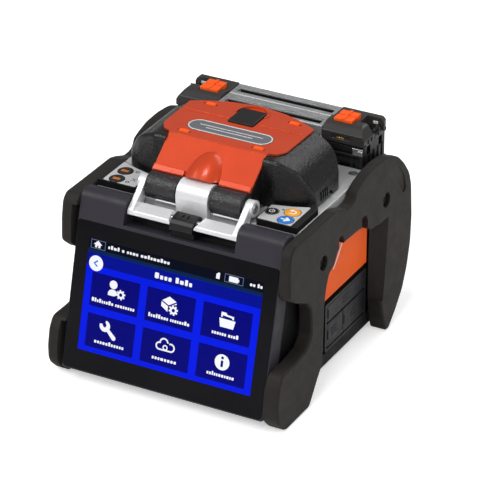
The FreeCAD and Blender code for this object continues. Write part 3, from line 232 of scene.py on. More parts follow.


# ---------------------------------------------------------------- materials
# In the materials below the edge colour pair is part wear, part painted edge highlight.
plastic("bumper_rubber", (30, 26, 22), roughness=0.64, grain=0.8, depth=0.06, specular=0.26,
        sheen=0.05, wear_and_highlight=((64, 61, 58), 0.30), edge=0.6, roughness_swing=0.06)
# Hood skin: the light specks are painted glints of the grain and the lighter edges are partly
# painted highlight.
plastic("hood_skin", (15, 14, 14), roughness=0.31, grain=1.25, depth=0.62, specular=0.46,
        wear_and_highlight=((56, 55, 54), 0.18), edge=0.6, roughness_swing=0.05, flecks_and_glints=((58, 57, 56), 0.45))
# Knuckles: the light specks are painted glints of the leathery grain.
plastic("knuckle_grain", (36, 35, 37), roughness=0.36, grain=1.3, depth=0.85, mottle=0.10,
        edge=0.4, flecks_and_glints=((104, 102, 104), 0.45))
plastic("moulded_black", (20, 20, 21), roughness=0.42, grain=0.4, depth=0.04, mottle=0.10,
        specular=0.38, wear_and_highlight=((62, 61, 62), 0.25))
# Lid ends: the light edge colour is mostly painted edge highlight.
plastic("lid_black", (48, 46, 45), roughness=0.40, grain=0.5, depth=0.05, specular=0.45,
        wear_and_highlight=((110, 108, 106), 0.40))
plastic("case_plastic", (14, 14, 15), roughness=0.55, grain=0.45, depth=0.05, mottle=0.10,
        specular=0.22, wear_and_highlight=((50, 49, 49), 0.12))
plastic("monitor_plastic", (48, 46, 53), roughness=0.44, mottle=0.08, specular=0.24,
        wear_and_highlight=((84, 83, 90), 0.25), edge=0.5)
# Orange cover: the light edge colour is painted edge highlight and the light specks are painted
# sparkle.
plastic("orange_paint", (205, 66, 25), roughness=0.40, grain=0.28, depth=0.014, mottle=0.05,
        specular=0.20, metallic=0.25, coat=0.55, wear_and_highlight=((246, 138, 92), 0.45), edge=0.40,
        roughness_swing=0.05, flecks_and_glints=((240, 110, 66), 0.20))
plastic("orange_panel", (250, 98, 22), roughness=0.45, depth=0.02, mottle=0.05, specular=0.15,
        wear_and_highlight=((250, 150, 96), 0.3))
# Lighter orange; on the cover's snap clips it stands in for their highlights.
plastic("orange_tab", (250, 92, 20), roughness=0.42, grain=0.3, depth=0.015, mottle=0.05,
        specular=0.25, wear_and_highlight=((255, 160, 110), 0.3))
metal("satin_silver", (232, 232, 234), roughness=0.40, stretch=(0.25, 1, 1), scratch=0.2,
      cast=0.6, metallic=0.36)
metal("deck_silver", (204, 205, 206), roughness=0.40, stretch=(0.2, 1, 1), cast=0.4,
      metallic=0.45)
metal("machined_steel", (176, 177, 180), roughness=0.28, scratch=0.2, metallic=0.85)
metal("brass_insert", (206, 168, 92), roughness=0.30, metallic=0.8)
metal("heater_plate", (160, 161, 162), roughness=0.38, stretch=(0.06, 1, 1), scratch=0.60,
      depth=0.020, metallic=0.5, mottle=0.36)
plastic("label_foil", (204, 204, 206), roughness=0.42, grain=0.5, depth=0.01, mottle=0.05,
        specular=0.35, metallic=0.2, edge=0.15, flecks_and_glints=((160, 160, 162), 0.35))
plastic("key_black", (20, 20, 20), roughness=0.34, grain=0.4, depth=0.015, coat=0.2,
        wear_and_highlight=((90, 88, 86), 0.3))
for name, rgb, wear_and_highlight_rgb in (("key_blue", (30, 118, 206), (120, 190, 240)),
                            ("key_yellow", (246, 166, 34), (255, 210, 120))):
    plastic(name, rgb, roughness=0.36, grain=0.4, depth=0.012, mottle=0.05, coat=0.2,
            wear_and_highlight=(wear_and_highlight_rgb, 0.3))
metal("nameplate_metal", (124, 126, 132), roughness=0.40, stretch=(0.05, 1, 1), scratch=0.3,
      metallic=0.5)
plastic("door_plastic", (23, 24, 28), roughness=0.42, grain=0.4, specular=0.35,
        wear_and_highlight=((90, 94, 104), 0.35), edge=0.25)
plastic("ceramic", (226, 224, 216), roughness=0.3, grain=0.2, depth=0.004, mottle=0.03)
plastic("solder_mask", (22, 92, 48), roughness=0.35, grain=1.2, depth=0.02, mottle=0.15)
for name, rgb, mottle in (("white_ink", (236, 236, 236), 0.03), ("black_ink", (28, 28, 30), 0.05),
                          ("orange_ink", (246, 140, 40), 0.05),
                          ("grey_ink", (150, 152, 156), 0.05)):
    plastic(name, rgb, roughness=0.5, grain=0.2, depth=0.004, mottle=mottle, edge=0.05)
black_glass("front_glass")
for name, rgb in (("ui_blue", (0, 26, 226)), ("ui_navy", (0, 2, 118)), ("ui_head", (0, 14, 142)),
                  ("ui_bar", (6, 10, 26)), ("ui_teal", (8, 36, 74)),
                  ("ui_white", (244, 246, 250)), ("ui_line", (96, 112, 150)),
                  ("ui_chev", (40, 110, 220))):
    glow(name, rgb)

# Material of each slot whose material has another name than the slot.
SLOT_MATERIALS = {
    "black_plastic": "moulded_black", "orange_cover": "orange_paint",
    "orange_plastic": "orange_tab", "silver_cast": "satin_silver", "steel": "machined_steel",
    "brass": "brass_insert", "label_grey": "label_foil", "nameplate_grey": "nameplate_metal",
    "display": "ui_blue", "tungsten": "machined_steel", "board": "solder_mask",
}
# CAD pieces that leave the material of their slot.
NODE_MATERIALS = {
    "hood_knuckles": "knuckle_grain", "bumper_screws": "key_black", "front_lid_ends": "lid_black",
    "rear_lid_ends": "lid_black", "top_deck": "deck_silver", "side_panels": "orange_panel",
}
slot_of = {part["node"]: part["material_slot"] for part in frame["record"]["subparts"]}

for name, piece in NODES.items():
    slot = slot_of[name]
    material = materials[NODE_MATERIALS.get(name, SLOT_MATERIALS.get(slot, slot))]
    if len(piece.material_slots) == 0:
        piece.data.materials.append(material)
    for material_slot in piece.material_slots:
        material_slot.material = material


# ---------------------------------------------------------------- placing
def on_level(z):
    """Place (x, y, height) on the horizontal plane at z."""
    return lambda x, y, height: Vector((x, y - DATUM_Y, z + height)) * MM


def on_side(y, z, x):
    """Place a (y, z) profile at x."""
    return Vector((x, y - DATUM_Y, z)) * MM


SCREEN_ORIGIN = Vector((0, -61.0 - DATUM_Y, 93.0))   # on the glass, above the lit area
SCREEN_TILT = math.radians(14.5)
SCREEN_UP = Vector((0, math.sin(SCREEN_TILT), math.cos(SCREEN_TILT)))
SCREEN_OUT = Vector((0, -math.cos(SCREEN_TILT), math.sin(SCREEN_TILT)))


def on_screen(x, up, height):
    """Place (x, up the glass, height off the glass)."""
    return (SCREEN_ORIGIN + Vector((1, 0, 0)) * x + SCREEN_UP * up + SCREEN_OUT * height) * MM


# ---------------------------------------------------------------- outlines and solids
def arc(x, y, radius, degrees):
    return [(x + radius * math.cos(math.radians(angle)), y + radius * math.sin(math.radians(angle)))
            for angle in degrees]


def circle(x, y, radius, count=36):
    return arc(x, y, radius, [360 * i / count for i in range(count)])


def rectangle(x0, x1, y0, y1):
    return [(x0, y0), (x1, y0), (x1, y1), (x0, y1)]


def rounded(x0, x1, y0, y1, radius, steps):
    """Rectangle with round corners of `steps` segments each."""
    points = []
    for x, y, start in ((x1 - radius, y0 + radius, -90), (x1 - radius, y1 - radius, 0),
                        (x0 + radius, y1 - radius, 90), (x0 + radius, y0 + radius, 180)):
        points += arc(x, y, radius, [start + 90 * i / steps for i in range(steps + 1)])
    return points


def moved(points, x, y=0.0):
    return [(x + px, y + py) for px, py in points]


def fill_caps(bm, caps):
    for cap in caps:
        cap.normal_update()
    bmesh.ops.triangulate(bm, faces=caps, ngon_method="EAR_CLIP")


def prism(bm, outline, low, high, place):
    """Solid on any outline, between two heights."""
    bottom = [bm.verts.new(place(x, y, low)) for x, y in outline]
    top = [bm.verts.new(place(x, y, high)) for x, y in outline]
    caps = [bm.faces.new(top), bm.faces.new(list(reversed(bottom)))]
    count = len(outline)
    for i in range(count):
        j = (i + 1) % count
        bm.faces.new([bottom[i], bottom[j], top[j], top[i]])
    fill_caps(bm, caps)


def band(bm, x, y, inner, outer, low, high, place, start=0.0, end=360.0, count=40):
    """Ring or arc of rectangular section; angles in degrees."""
    full = abs(end - start) >= 359.9
    section = ((inner, low), (outer, low), (outer, high), (inner, high))
    rows = []
    for i in range(count if full else count + 1):
        angle = math.radians(start + (end - start) * i / count)
        cos, sin = math.cos(angle), math.sin(angle)
        rows.append([bm.verts.new(place(x + radius * cos, y + radius * sin, height))
                     for radius, height in section])
    for i in range(count):
        row, following = rows[i], rows[(i + 1) % len(rows)]
        for j in range(4):
            k = (j + 1) % 4
            bm.faces.new([row[j], row[k], following[k], following[j]])
    if not full:
        bm.faces.new(rows[0])
        bm.faces.new(list(reversed(rows[-1])))


def block(bm, x0, x1, y0, y1, z0, z1):
    prism(bm, rectangle(x0, x1, y0, y1), z0, z1, on_level(0.0))


class Print:
    """Flat shapes of one thickness laid on a surface."""

    def __init__(self, bm, place, low, high):
        self.bm, self.place, self.low, self.high = bm, place, low, high

    def shape(self, outline):
        prism(self.bm, outline, self.low, self.high, self.place)

    def ring(self, x, y, inner, outer, **sweep):
        band(self.bm, x, y, inner, outer, self.low, self.high, self.place, **sweep)

    def caption(self, x, y, width, height, seed, words):
        """A row of small blocks that stands for words of the given letter counts."""
        word_gap, letter_gap = 0.45, 0.20
        rnd = random.Random(seed)
        letters = []         # (height, width) shares; None between words
        for index, count in enumerate(words):
            if index:
                letters.append(None)
            for _ in range(count):
                letters.append((rnd.choice((0.62, 0.62, 0.62, 0.92)), rnd.uniform(0.42, 0.70)))
        total = sum(word_gap if letter is None else letter[1] + letter_gap for letter in letters)
        scale = width / total
        left = x - width / 2
        bottom = y - height * 0.45
        for letter in letters:
            if letter is None:
                left += word_gap * scale
                continue
            tall, wide = letter[0] * height, letter[1] * scale
            self.shape(rounded(left, left + wide, bottom, bottom + tall,
                               radius=0.22 * min(wide, tall), steps=2))
            left += wide + letter_gap * scale


# ---------------------------------------------------------------- adding objects
def smooth(piece, angle=32.0):
    piece.data.shade_smooth()
    piece.data.set_sharp_from_angle(angle=math.radians(angle))


def add_piece(name, material, body, build):
    """Make an object from build(bm) with the given material; it rides on a body."""
    bm = bmesh.new()
    build(bm)
    mesh = bpy.data.meshes.new(name)
    bmesh.ops.recalc_face_normals(bm, faces=bm.faces)
    bm.to_mesh(mesh)
    bm.free()
    piece = bpy.data.objects.new(name, mesh)
    scene.collection.objects.link(piece)
    piece.data.materials.append(materials[material])
    smooth(piece, angle=30.0)
    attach(piece, body)
    return piece


def bevel_edges(piece, width, segments=2):
    modifier = piece.modifiers.new("edge", "BEVEL")
    modifier.width = width * MM
    modifier.segments = segments
    return modifier


def trim(name, material, body, build, bevel=0.25, segments=2):
    piece = add_piece(name, material, body, build)
    if bevel:
        bevel_edges(piece, bevel, segments).limit_method = "ANGLE"


# ---------------------------------------------------------------- display contents
LAYER = 0.03             # thickness of one printed layer
GLASS_GAP = 0.005        # glass to the first layer
SCREEN_HALF = 55.5       # half width of the lit area
FIELD_TOP, FIELD_BOTTOM = -17.5, -75.3
STATUS_TOP, STATUS_BOTTOM = -9.6, -15.3
TILE_COLUMNS = [(-51.2, -20.2), (-15.4, 15.4), (20.4, 51.2)]
TILE_ROWS = [(-48.2, -28.5), (-72.2, -52.5)]
INFO_X = 36.0
BACK_UP = -23.3          # height of the back disc and its arrow


def screen_layer(name, material, level, draw):
    low = GLASS_GAP + LAYER * level
    add_piece(name, material, "monitor",
              lambda bm: draw(Print(bm, on_screen, low, low + LAYER)))


def screen_strip(bottom, top, radius):
    outline = rounded(-SCREEN_HALF, SCREEN_HALF, bottom, top, radius, steps=2)
    return lambda art: art.shape(outline)


def tiles(art):
    for x0, x1 in TILE_COLUMNS:
        for bottom, top in TILE_ROWS:
            art.shape(rounded(x0, x1, bottom, top, radius=0.5, steps=3))


def person_icon(art):
    x = -37.0
    art.shape(circle(x, -33.0, 2.5))
    shoulders = [(3.0 * math.cos(math.radians(angle)), -38.4 + 2.6 * math.sin(math.radians(angle)))
                 for angle in range(180, -1, -15)]
    art.shape(moved([(-3.0, -39.6)] + shoulders + [(1.0, -39.6)], x))


def gear_icon(art, x, y):
    radius, teeth = 2.9, 8
    half_tooth = radius * 0.17
    art.ring(x, y, radius * 0.36, radius * 0.76, count=32)
    for i in range(teeth):
        angle = 2 * math.pi * i / teeth + 0.2
        cos, sin = math.cos(angle), math.sin(angle)
        art.shape([(x + radius * reach * cos - side * half_tooth * sin,
                    y + radius * reach * sin + side * half_tooth * cos)
                   for reach, side in ((0.70, 1), (0.70, -1), (1.0, -1), (1.0, 1))])


# Icon outlines as (x from the icon's middle, up the glass).
BOX_X = -0.8
BOX_FACES = [
    [(-4.6, -34.2), (-0.2, -31.2), (4.4, -33.4), (-0.2, -36.2)],
    [(-4.9, -34.9), (-0.6, -36.9), (-0.6, -40.2), (-4.9, -37.6)],
    [(0.2, -36.9), (4.6, -34.2), (4.6, -35.0), (3.0, -35.4), (0.9, -36.4), (0.2, -37.6)],
]
FOLDER_X = 36.0
FOLDER_FACES = [
    [(-4.0, -34.6), (-4.0, -31.8), (-1.2, -31.8), (-0.2, -32.9), (4.0, -33.2), (4.0, -35.0),
     (3.0, -35.0), (3.0, -34.2), (-3.0, -33.6), (-3.0, -34.6)],
    [(-5.0, -35.4), (5.2, -35.6), (4.2, -40.4), (-4.0, -40.4)],
]
# Small status bar marks as (x, up the glass): battery, cut-corner card, house.
STATUS_MARKS = [
    [(34.0, -13.8), (39.6, -13.8), (39.6, -13.2), (40.3, -13.2), (40.3, -11.6), (39.6, -11.6),
     (39.6, -10.7), (34.0, -10.7)],
    [(26.0, -14.0), (28.2, -14.0), (28.2, -10.4), (27.2, -10.4), (26.0, -11.4)],
    [(-51.4, -14.2), (-50.1, -14.2), (-50.1, -13.0), (-49.3, -13.0), (-49.3, -14.2),
     (-48.0, -14.2), (-48.0, -12.5), (-46.9, -12.5), (-49.7, -10.1), (-52.5, -12.5),
     (-51.4, -12.5)],
]
# Captions: x, up, width, height, letters in each word. Seeds count up from 11.
CAPTIONS = [
    (-35.8, -44.2, 28.0, 2.5, (9, 8)), (0.2, -44.2, 26.5, 2.5, (8, 8)),
    (35.9, -44.2, 17.0, 2.5, (6, 4)), (-35.6, -67.9, 19.5, 2.5, (11,)),
    (0.2, -67.9, 16.0, 2.5, (8,)), (36.0, -67.9, 17.5, 2.5, (11,)),
    (0.4, -21.1, 24.5, 3.6, (4, 4)), (-23.0, -12.2, 40.0, 2.4, (4, 1, 4, 9)),
    (51.2, -12.2, 8.2, 2.4, (2, 2)),
]


def spanner_icon(art):
    turn = math.radians(-43)
    cos, sin = math.cos(turn), math.sin(turn)

    def turned(points):
        return moved([(x * cos - y * sin, x * sin + y * cos) for x, y in points], -39.6, -58.0)

    head = arc(0, 0, 3.4, range(-150, 121, 15))
    jaw = [(-1.5, 1.9), (0.5, 1.1), (0.8, -0.5), (-0.2, -1.0), (-2.0, -0.5)]
    art.shape(turned(head + jaw))
    handle_end = arc(8.6, 0, 1.35, range(-75, 76, 25))
    art.shape(turned([(2.0, 0.95), (2.0, -0.95), (8.6, -1.35)] + handle_end + [(8.6, 1.35)]))


def cloud_icon(art):
    art.ring(-3.9, -60.6, 1.55, 2.45, start=70, end=280, count=24)
    art.ring(-1.2, -58.4, 2.0, 2.9, start=5, end=172, count=24)
    art.ring(3.3, -60.4, 1.75, 2.65, start=-100, end=118, count=24)
    art.shape(rectangle(-3.6, 3.0, -63.05, -62.15))
    art.ring(-0.2, -61.0, 0.9, 1.6, count=24)


def icons(art):
    person_icon(art)
    gear_icon(art, -31.8, -37.8)
    gear_icon(art, 2.2, -38.6)
    for face in BOX_FACES:
        art.shape(moved(face, BOX_X))
    for face in FOLDER_FACES:
        art.shape(moved(face, FOLDER_X))
    spanner_icon(art)
    cloud_icon(art)
    art.shape(circle(INFO_X, -60.4, 4.6, count=44))
    art.shape(circle(-49.6, BACK_UP, 4.5, count=48))
    for mark in STATUS_MARKS:
        art.shape(mark)
    for seed, (x, up, width, height, words) in enumerate(CAPTIONS, start=11):
        art.caption(x, up, width, height, seed, words)


def info_mark(art):
    art.shape(circle(INFO_X, -57.8, 0.85, count=20))
    art.shape(rounded(INFO_X - 0.75, INFO_X + 0.75, -63.2, -59.3, radius=0.5, steps=3))


def status_frames(art):
    """Thin frames around the house and battery marks."""
    line = 0.35
    for x0, x1, bottom, top in ((-54.2, -44.8, -15.0, -9.8), (31.2, 43.0, -14.6, -9.8)):
        art.shape(rectangle(x0, x1, bottom, bottom + line))
        art.shape(rectangle(x0, x1, top - line, top))
        art.shape(rectangle(x0, x0 + line, bottom + line, top - line))
        art.shape(rectangle(x1 - line, x1, bottom + line, top - line))


def back_arrow(art):
    art.shape(moved([(1.2, 2.0), (1.9, 1.4), (0.1, 0.0), (1.9, -1.4), (1.2, -2.0), (-1.1, 0.0)],
                    -50.2, BACK_UP))


screen_layer("screen_field", "ui_blue", 0, screen_strip(FIELD_BOTTOM, FIELD_TOP, radius=0.2))
screen_layer("screen_status_bar", "ui_bar", 0, screen_strip(STATUS_BOTTOM, STATUS_TOP, radius=0.2))
screen_layer("screen_status_edge", "ui_teal", 0,
             screen_strip(FIELD_TOP, STATUS_BOTTOM, radius=0.05))
screen_layer("screen_header", "ui_head", 1,
             lambda art: art.shape(rectangle(-SCREEN_HALF, SCREEN_HALF, -24.6, -17.6)))
screen_layer("screen_tiles", "ui_navy", 1, tiles)
screen_layer("screen_icons", "ui_white", 2, icons)
screen_layer("screen_info_mark", "ui_navy", 3, info_mark)
screen_layer("screen_outlines", "ui_line", 1, status_frames)
screen_layer("screen_back_arrow", "ui_chev", 3, back_arrow)

# ---------------------------------------------------------------- keypad print
KEY_TOP, LABEL_TOP = 109.85, 109.5
KEY_INK, LABEL_INK = 0.04, 0.03      # print thickness
CONFIRM_KEY = (54.1, -35.9)
CANCEL_KEY = (53.6, -26.4)
POWER_KEY = (42.7, -30.2)
FRONT_HEAT_MARK = (-52.9, -36.6)
REAR_HEAT_MARK = (-53.3, -26.2)


def add_print(name, material, body, draw, z=KEY_TOP, ink=KEY_INK):
    add_piece(name, material, body,
              lambda bm: draw(Print(bm, on_level(z), 0.0, ink)))


def confirm_arrow(art):
    arrow = [(-3.0, 0.55), (0.3, 0.55), (-0.9, 1.75), (0.0, 2.6), (3.0, 0.0), (0.0, -2.6),
             (-0.9, -1.75), (0.3, -0.55), (-3.0, -0.55)]
    art.shape(moved(arrow, *CONFIRM_KEY))


def cancel_arrow(art):
    """Arrow that turns back on itself."""
    x, y = CANCEL_KEY
    art.ring(x + 0.4, y - 0.2, 1.25, 2.15, start=-90, end=90, count=20)
    art.shape(moved(rectangle(-1.4, 0.4, -2.35, -1.45), x, y))
    art.shape(moved(rectangle(-0.4, 0.4, 1.05, 1.95), x, y))
    art.shape(moved([(-0.4, 3.1), (-0.4, -0.1), (-2.6, 1.5)], x, y))


def power_symbol(art):
    art.ring(*POWER_KEY, 1.2, 1.75, start=125, end=415, count=30)
    art.shape(moved(rectangle(-0.28, 0.28, 0.3, 2.3), *POWER_KEY))


def heat_bars(x, y):
    def draw(art):
        for i in range(2):
            middle = y - 1.0 + 1.3 * i
            art.shape(rounded(x - 2.4, x + 2.2, middle - 0.32, middle + 0.32,
                              radius=0.3, steps=3))
    return draw


def left_label(art):
    """Crossed marks and small rings next to the two heater keys."""
    for x, y in ((-43.6, -33.5), (-42.0, -27.0)):
        for slant in (-1, 1):
            rise, half = slant * 1.5, 0.28
            art.shape(moved([(-1.5, -rise - half), (-1.5, -rise + half),
                             (1.5, rise + half), (1.5, rise - half)], x, y))
    art.ring(-45.6, -37.6, 0.7, 1.2)
    art.ring(-46.6, -24.2, 0.7, 1.2)


def right_label(art):
    """Lines around the power, cancel and confirm keys, and a dot."""
    art.ring(*POWER_KEY, 3.7, 4.15)
    art.shape(circle(47.4, -25.6, 0.7))
    art.ring(*CANCEL_KEY, 4.75, 5.0, start=110, end=430, count=30)
    art.ring(*CONFIRM_KEY, 4.75, 5.0, start=-70, end=250, count=30)


add_print("confirm_mark", "white_ink", "confirm_key", confirm_arrow)
add_print("cancel_mark", "white_ink", "cancel_key", cancel_arrow)
add_print("power_mark", "white_ink", "power_key", power_symbol)
add_print("front_heat_mark", "orange_ink", "front_heater_key", heat_bars(*FRONT_HEAT_MARK))
add_print("rear_heat_mark", "orange_ink", "rear_heater_key", heat_bars(*REAR_HEAT_MARK))
add_print("left_label_print", "black_ink", "chassis", left_label, z=LABEL_TOP, ink=LABEL_INK)
add_print("right_label_print", "black_ink", "chassis", right_label, z=LABEL_TOP, ink=LABEL_INK)

# ---------------------------------------------------------------- cover top
COVER_TOP = 135.2
RIM_WIDTH, RIM_HEIGHT = 0.8, 0.12


def nameplate_rim(bm):
    """Raised rim around the nameplate, with two bars inside it."""
    place = on_level(COVER_TOP + 0.05)
    outer = rounded(-26.4, 26.4, -6.4, 6.6, radius=6.49, steps=12)
    inner = rounded(-26.4 + RIM_WIDTH, 26.4 - RIM_WIDTH, -6.4 + RIM_WIDTH, 6.6 - RIM_WIDTH,
                    radius=6.49 - RIM_WIDTH, steps=12)
    loops = [[bm.verts.new(place(x, y, height)) for x, y in points]
             for points, height in ((outer, 0.0), (outer, RIM_HEIGHT),
                                    (inner, RIM_HEIGHT), (inner, 0.0))]
    count = len(outer)
    for i in range(count):
        k = (i + 1) % count
        for j in range(4):
            loop, following = loops[j], loops[(j + 1) % 4]
            bm.faces.new([loop[i], loop[k], following[k], following[i]])
    for y, half in ((1.4, 20.0), (-1.4, 15.0)):
        prism(bm, rounded(-half, half, y - 0.32, y + 0.32, radius=0.3, steps=4), 0.0, 0.09, place)


def snap_clips(bm):
    """Four two-step blocks."""
    for x, y in ((-27, 26.8), (27, 26.8), (-23.7, -10.6), (23.7, -10.6)):
        for half_x, half_y, low, high in ((3.1, 1.5, -0.2, 0.35), (2.6, 1.0, 0.3, 0.75)):
            prism(bm, rounded(x - half_x, x + half_x, y - half_y, y + half_y,
                              radius=0.5, steps=4), low, high, on_level(COVER_TOP))


add_piece("nameplate_rim", "satin_silver", "hood", nameplate_rim)
# The snap clips take the lighter orange as painted highlight on the orange cover.
bevel_edges(add_piece("cover_snap_clips", "orange_tab", "hood", snap_clips),
            width=0.25)


# ---------------------------------------------------------------- ribs, brackets and strips
def add_mirrored(bm, boxes):
    """Add boxes (x0, x1, y0, y1, z0, z1), first all on the left, then all on the right."""
    for side in (-1, 1):
        for x0, x1, *rest in boxes:
            block(bm, *sorted((side * x0, side * x1)), *rest)


def mirrored(boxes):
    return lambda bm: add_mirrored(bm, boxes)


def rib_row(x, z, first, pitch, width, count):
    """Boxes repeated towards the back; x and z are (low, high)."""
    starts = [first + pitch * i for i in range(count)]
    return [(*x, y, y + width, *z) for y in starts]


HEATER_SIDE = rib_row(x=(60.9, 61.6), z=(104.5, 112.6), first=49.2, pitch=5.2, width=1.6, count=5)
HEATER_SIDE += [
    (60.9, 61.7, 47.2, 75.0, 100.8, 103.4),      # sill under the ribs
    (36.5, 57.5, 45.8, 46.7, 112.4, 113.5),      # ledge in the front face
    (38.0, 46.0, 46.1, 46.7, 106.2, 107.0),
    (53.4, 54.6, 46.0, 46.7, 100.4, 117.4),      # upright rib in the front face
    (56.0, 60.4, 45.4, 46.7, 100.6, 104.2),
]
HEATER_BRACKET = [
    (53.8, 60.6, 46.0, 46.6, 113.4, 117.6),
    (57.4, 60.6, 45.2, 46.4, 114.6, 116.6),
]
REAR_LID_RIBS = rib_row(x=(61.2, 61.8), z=(119.4, 124.6), first=64.6, pitch=6.2, width=1.4, count=2)
REAR_LID_RIBS += [
    (51.4, 61.0, 68.2, 71.5, 120.4, 121.4),
    (58.2, 59.4, 62.0, 71.4, 120.4, 123.2),
]
FRONT_LID_RIBS = rib_row(x=(61.2, 61.8), z=(119.4, 121.8), first=51.5, pitch=4.2, width=1.6,
                         count=2)
LID_CONTACTS = [(43.4, 48.0, 46.85, 47.44, 121.1, 122.2)]
LID_CATCHES = [(54.8, 58.0, 70.9, 71.4, 122.9, 124.7)]
HOOD_GRIPS = rib_row(x=(59.0, 60.1), z=(107.4, 113.2), first=-3.4, pitch=2.4, width=1.1, count=4)


def slot_strip_and_shade_wall(front, back):
    """Dark strip, a thin black wall behind it that is painted shade on the slot's back wall, and
    two studs near each end.
    """
    half, bottom = 30.9, 122.45

    def build(bm):
        block(bm, -half, half, front, back, bottom, 123.3)
        # Thin black sheet on the slot's back wall: painted shade.
        block(bm, -half, half, back + 0.02, back + 0.12, bottom, 125.7)
        add_mirrored(bm, [(x - 0.9, x + 0.9, front + 0.7, back - 0.7, 123.2, 124.6)
                          for x in (25.5, 25.5 + 3.2)])
    return build


def knuckle_collars(bm):
    for side in (-1, 1):
        for near, far in ((10.95, 11.8), (29.5, 30.3)):
            x0, x1 = sorted((side * near, side * far))
            band(bm, -37.5, 112.5, 7.2, 7.72, x0, x1, on_side)


PLATE_SLOPE = 0.777          # rise of the sloped plate per mm of y
SLOPE_STRETCH = 1.2664       # upright height per mm square to that slope
# Section of the crease: y, height square to the sloped plate.
CREASE = [(-34.62, 0.70), (-34.70, 0.92), (-32.5, 1.22), (-31.3, 0.02), (-31.6, -0.1)]


def foot_crease(bm):
    """Raised crease along the foot of the sloped plate, both sides of its egg-shaped ramp."""
    section = [(y, 120.0 + PLATE_SLOPE * (y + 34.0) + height * SLOPE_STRETCH)
               for y, height in CREASE]
    count = len(section)
    for x0, x1 in ((-30.8, -11.3), (11.3, 30.8)):
        left = [bm.verts.new(on_side(y, z, x0)) for y, z in section]
        right = [bm.verts.new(on_side(y, z, x1)) for y, z in section]
        caps = [bm.faces.new(left), bm.faces.new(list(reversed(right)))]
        for i in range(count):
            j = (i + 1) % count
            bm.faces.new([left[j], left[i], right[i], right[j]])
        fill_caps(bm, caps)


def hinge_rails(bm):
    for x0, x1 in ((-23.7, -11.0), (13.0, 29.0)):
        band(bm, -43.4, 106.4, 0.05, 0.60, x0, x1, on_side)


# Outline of the side panel trim: y, z.
PANEL_TRIM = [(2.6, 62.6), (3.6, 62.6), (9.4, 68.6), (14.6, 75.0), (13.6, 75.2), (8.6, 69.4)]


def panel_trim(bm):
    for side in (-1, 1):
        prism(bm, PANEL_TRIM, *sorted((side * 64.45, side * 64.72)), on_side)


trim("heater_side_ribs", "moulded_black", "chassis", mirrored(HEATER_SIDE))
trim("heater_end_bracket", "machined_steel", "chassis", mirrored(HEATER_BRACKET),
     bevel=0.2)
trim("rear_lid_end_ribs", "moulded_black", "rear_lid", mirrored(REAR_LID_RIBS))
trim("front_lid_end_ribs", "moulded_black", "front_lid", mirrored(FRONT_LID_RIBS))
trim("front_lid_contacts", "brass_insert", "front_lid", mirrored(LID_CONTACTS),
     bevel=0.15)
trim("rear_lid_catches", "satin_silver", "rear_lid", mirrored(LID_CATCHES),
     bevel=0.2)
trim("front_slot_strip", "moulded_black", "front_lid",
     slot_strip_and_shade_wall(front=49.75, back=54.25), bevel=0.15)
trim("rear_slot_strip", "moulded_black", "rear_lid",
     slot_strip_and_shade_wall(front=65.35, back=69.85), bevel=0.15)
trim("hood_side_grips", "hood_skin", "hood", mirrored(HOOD_GRIPS), bevel=0.3)
trim("knuckle_collars", "knuckle_grain", "hood", knuckle_collars,
     bevel=0.1, segments=1)
trim("cover_foot_crease", "orange_paint", "hood", foot_crease, bevel=0.2)
trim("hinge_rails", "satin_silver", "chassis", hinge_rails, bevel=0)
trim("side_panel_trim", "satin_silver", "chassis", panel_trim, bevel=0)


# ---------------------------------------------------------------- floor, light, camera
def add_floor():
    bm = bmesh.new()
    bmesh.ops.create_grid(bm, x_segments=1, y_segments=1, size=3.0)
    mesh = bpy.data.meshes.new("floor")
    bm.to_mesh(mesh)
    bm.free()
    floor = bpy.data.objects.new("floor", mesh)
    scene.collection.objects.link(floor)
    m = Shader("floor_paper")
    m.put("Base Color", m.mix(m.remap(m.noise(scale=3.0), span=(0.3, 0.7)),
                              (0.86, 0.86, 0.86, 1), (0.90, 0.90, 0.90, 1)))
    m.put("Roughness", 0.85)
    m.put("Specular IOR Level", 0.10)
    m.put("Emission Color", (1.0, 1.0, 1.0, 1))
    # The glow shows to the camera only, so it lights nothing.
    camera_ray = m.node("ShaderNodeLightPath").outputs["Is Camera Ray"]
    m.put("Emission Strength", m.math("MULTIPLY", camera_ray, 0.50))
    floor.data.materials.append(m.material)
    floor.location.z = -0.0002


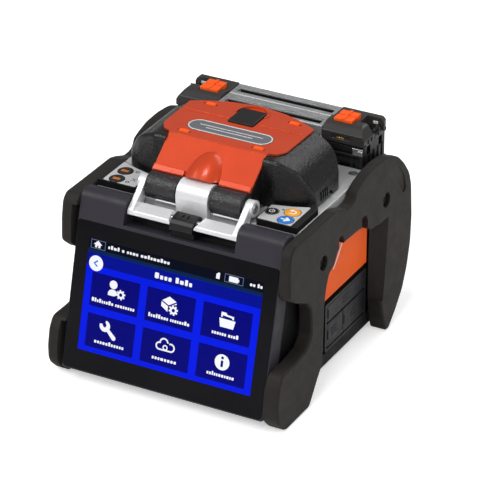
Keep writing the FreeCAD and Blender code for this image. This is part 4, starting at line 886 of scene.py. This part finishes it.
def add_world():
    world = bpy.data.worlds.new("studio")
    scene.world = world
    world.use_nodes = True
    background = world.node_tree.nodes["Background"]
    background.inputs["Color"].default_value = (1.0, 1.0, 1.0, 1)
    background.inputs["Strength"].default_value = 0.24


# Area lights: name, location, target, size (m), power (W).
LIGHTS = [
    ("key", (-0.85, -0.80, 1.15), (0, 0, 0.10), (0.65, 0.5), 9.6),
    ("front", (0.22, -1.15, 1.00), (0, 0, 0.10), (0.5, 0.35), 5.5),
    ("back_top", (0.25, 0.95, 1.00), (0, 0, 0.11), (1.0, 0.5), 4.2),
    ("right_fill", (1.25, -0.50, 0.75), (0, 0, 0.06), (0.6, 0.5), 2.4),
    ("left_high", (-0.80, -0.20, 1.00), (0, -0.03, 0.12), (0.24, 0.24), 0.5),
    ("overhead", (0.02, -0.20, 1.30), (0, -0.03, 0.12), (0.34, 0.20), 3.4),
    ("side_strip", (1.15, 0.02, 0.62), (0, 0, 0.11), (0.10, 0.45), 1.6),
]


def add_light(name, location, target, size, power):
    light = bpy.data.lights.new(name, "AREA")
    light.shape = "RECTANGLE"
    light.size, light.size_y = size
    light.energy = power
    lamp = bpy.data.objects.new(name, light)
    lamp.location = location
    aim = Vector(target) - Vector(location)
    lamp.rotation_euler = aim.to_track_quat("-Z", "Y").to_euler()
    scene.collection.objects.link(lamp)


def add_camera():
    lens = bpy.data.cameras.new("camera")
    lens.sensor_width = 36.0
    lens.sensor_fit = "HORIZONTAL"
    lens.lens = 233.07
    lens.clip_start, lens.clip_end = 0.1, 20.0
    camera = bpy.data.objects.new("camera", lens)
    right = Vector((0.88032, 0.47438, 0.0))
    up = Vector((-0.22417, 0.41600, 0.88130))
    back = Vector((0.41807, -0.77583, 0.47255))
    rotation = Matrix((right, up, back)).transposed().to_4x4()
    location = Vector((0.7493, -1.3789 - DATUM_Y * MM, 0.9078))
    camera.matrix_world = Matrix.Translation(location) @ rotation
    scene.collection.objects.link(camera)
    scene.camera = camera


add_floor()
add_world()
for light in LIGHTS:
    add_light(*light)
add_camera()
scene.view_settings.view_transform = "Standard"

for piece in NODES.values():
    smooth(piece)

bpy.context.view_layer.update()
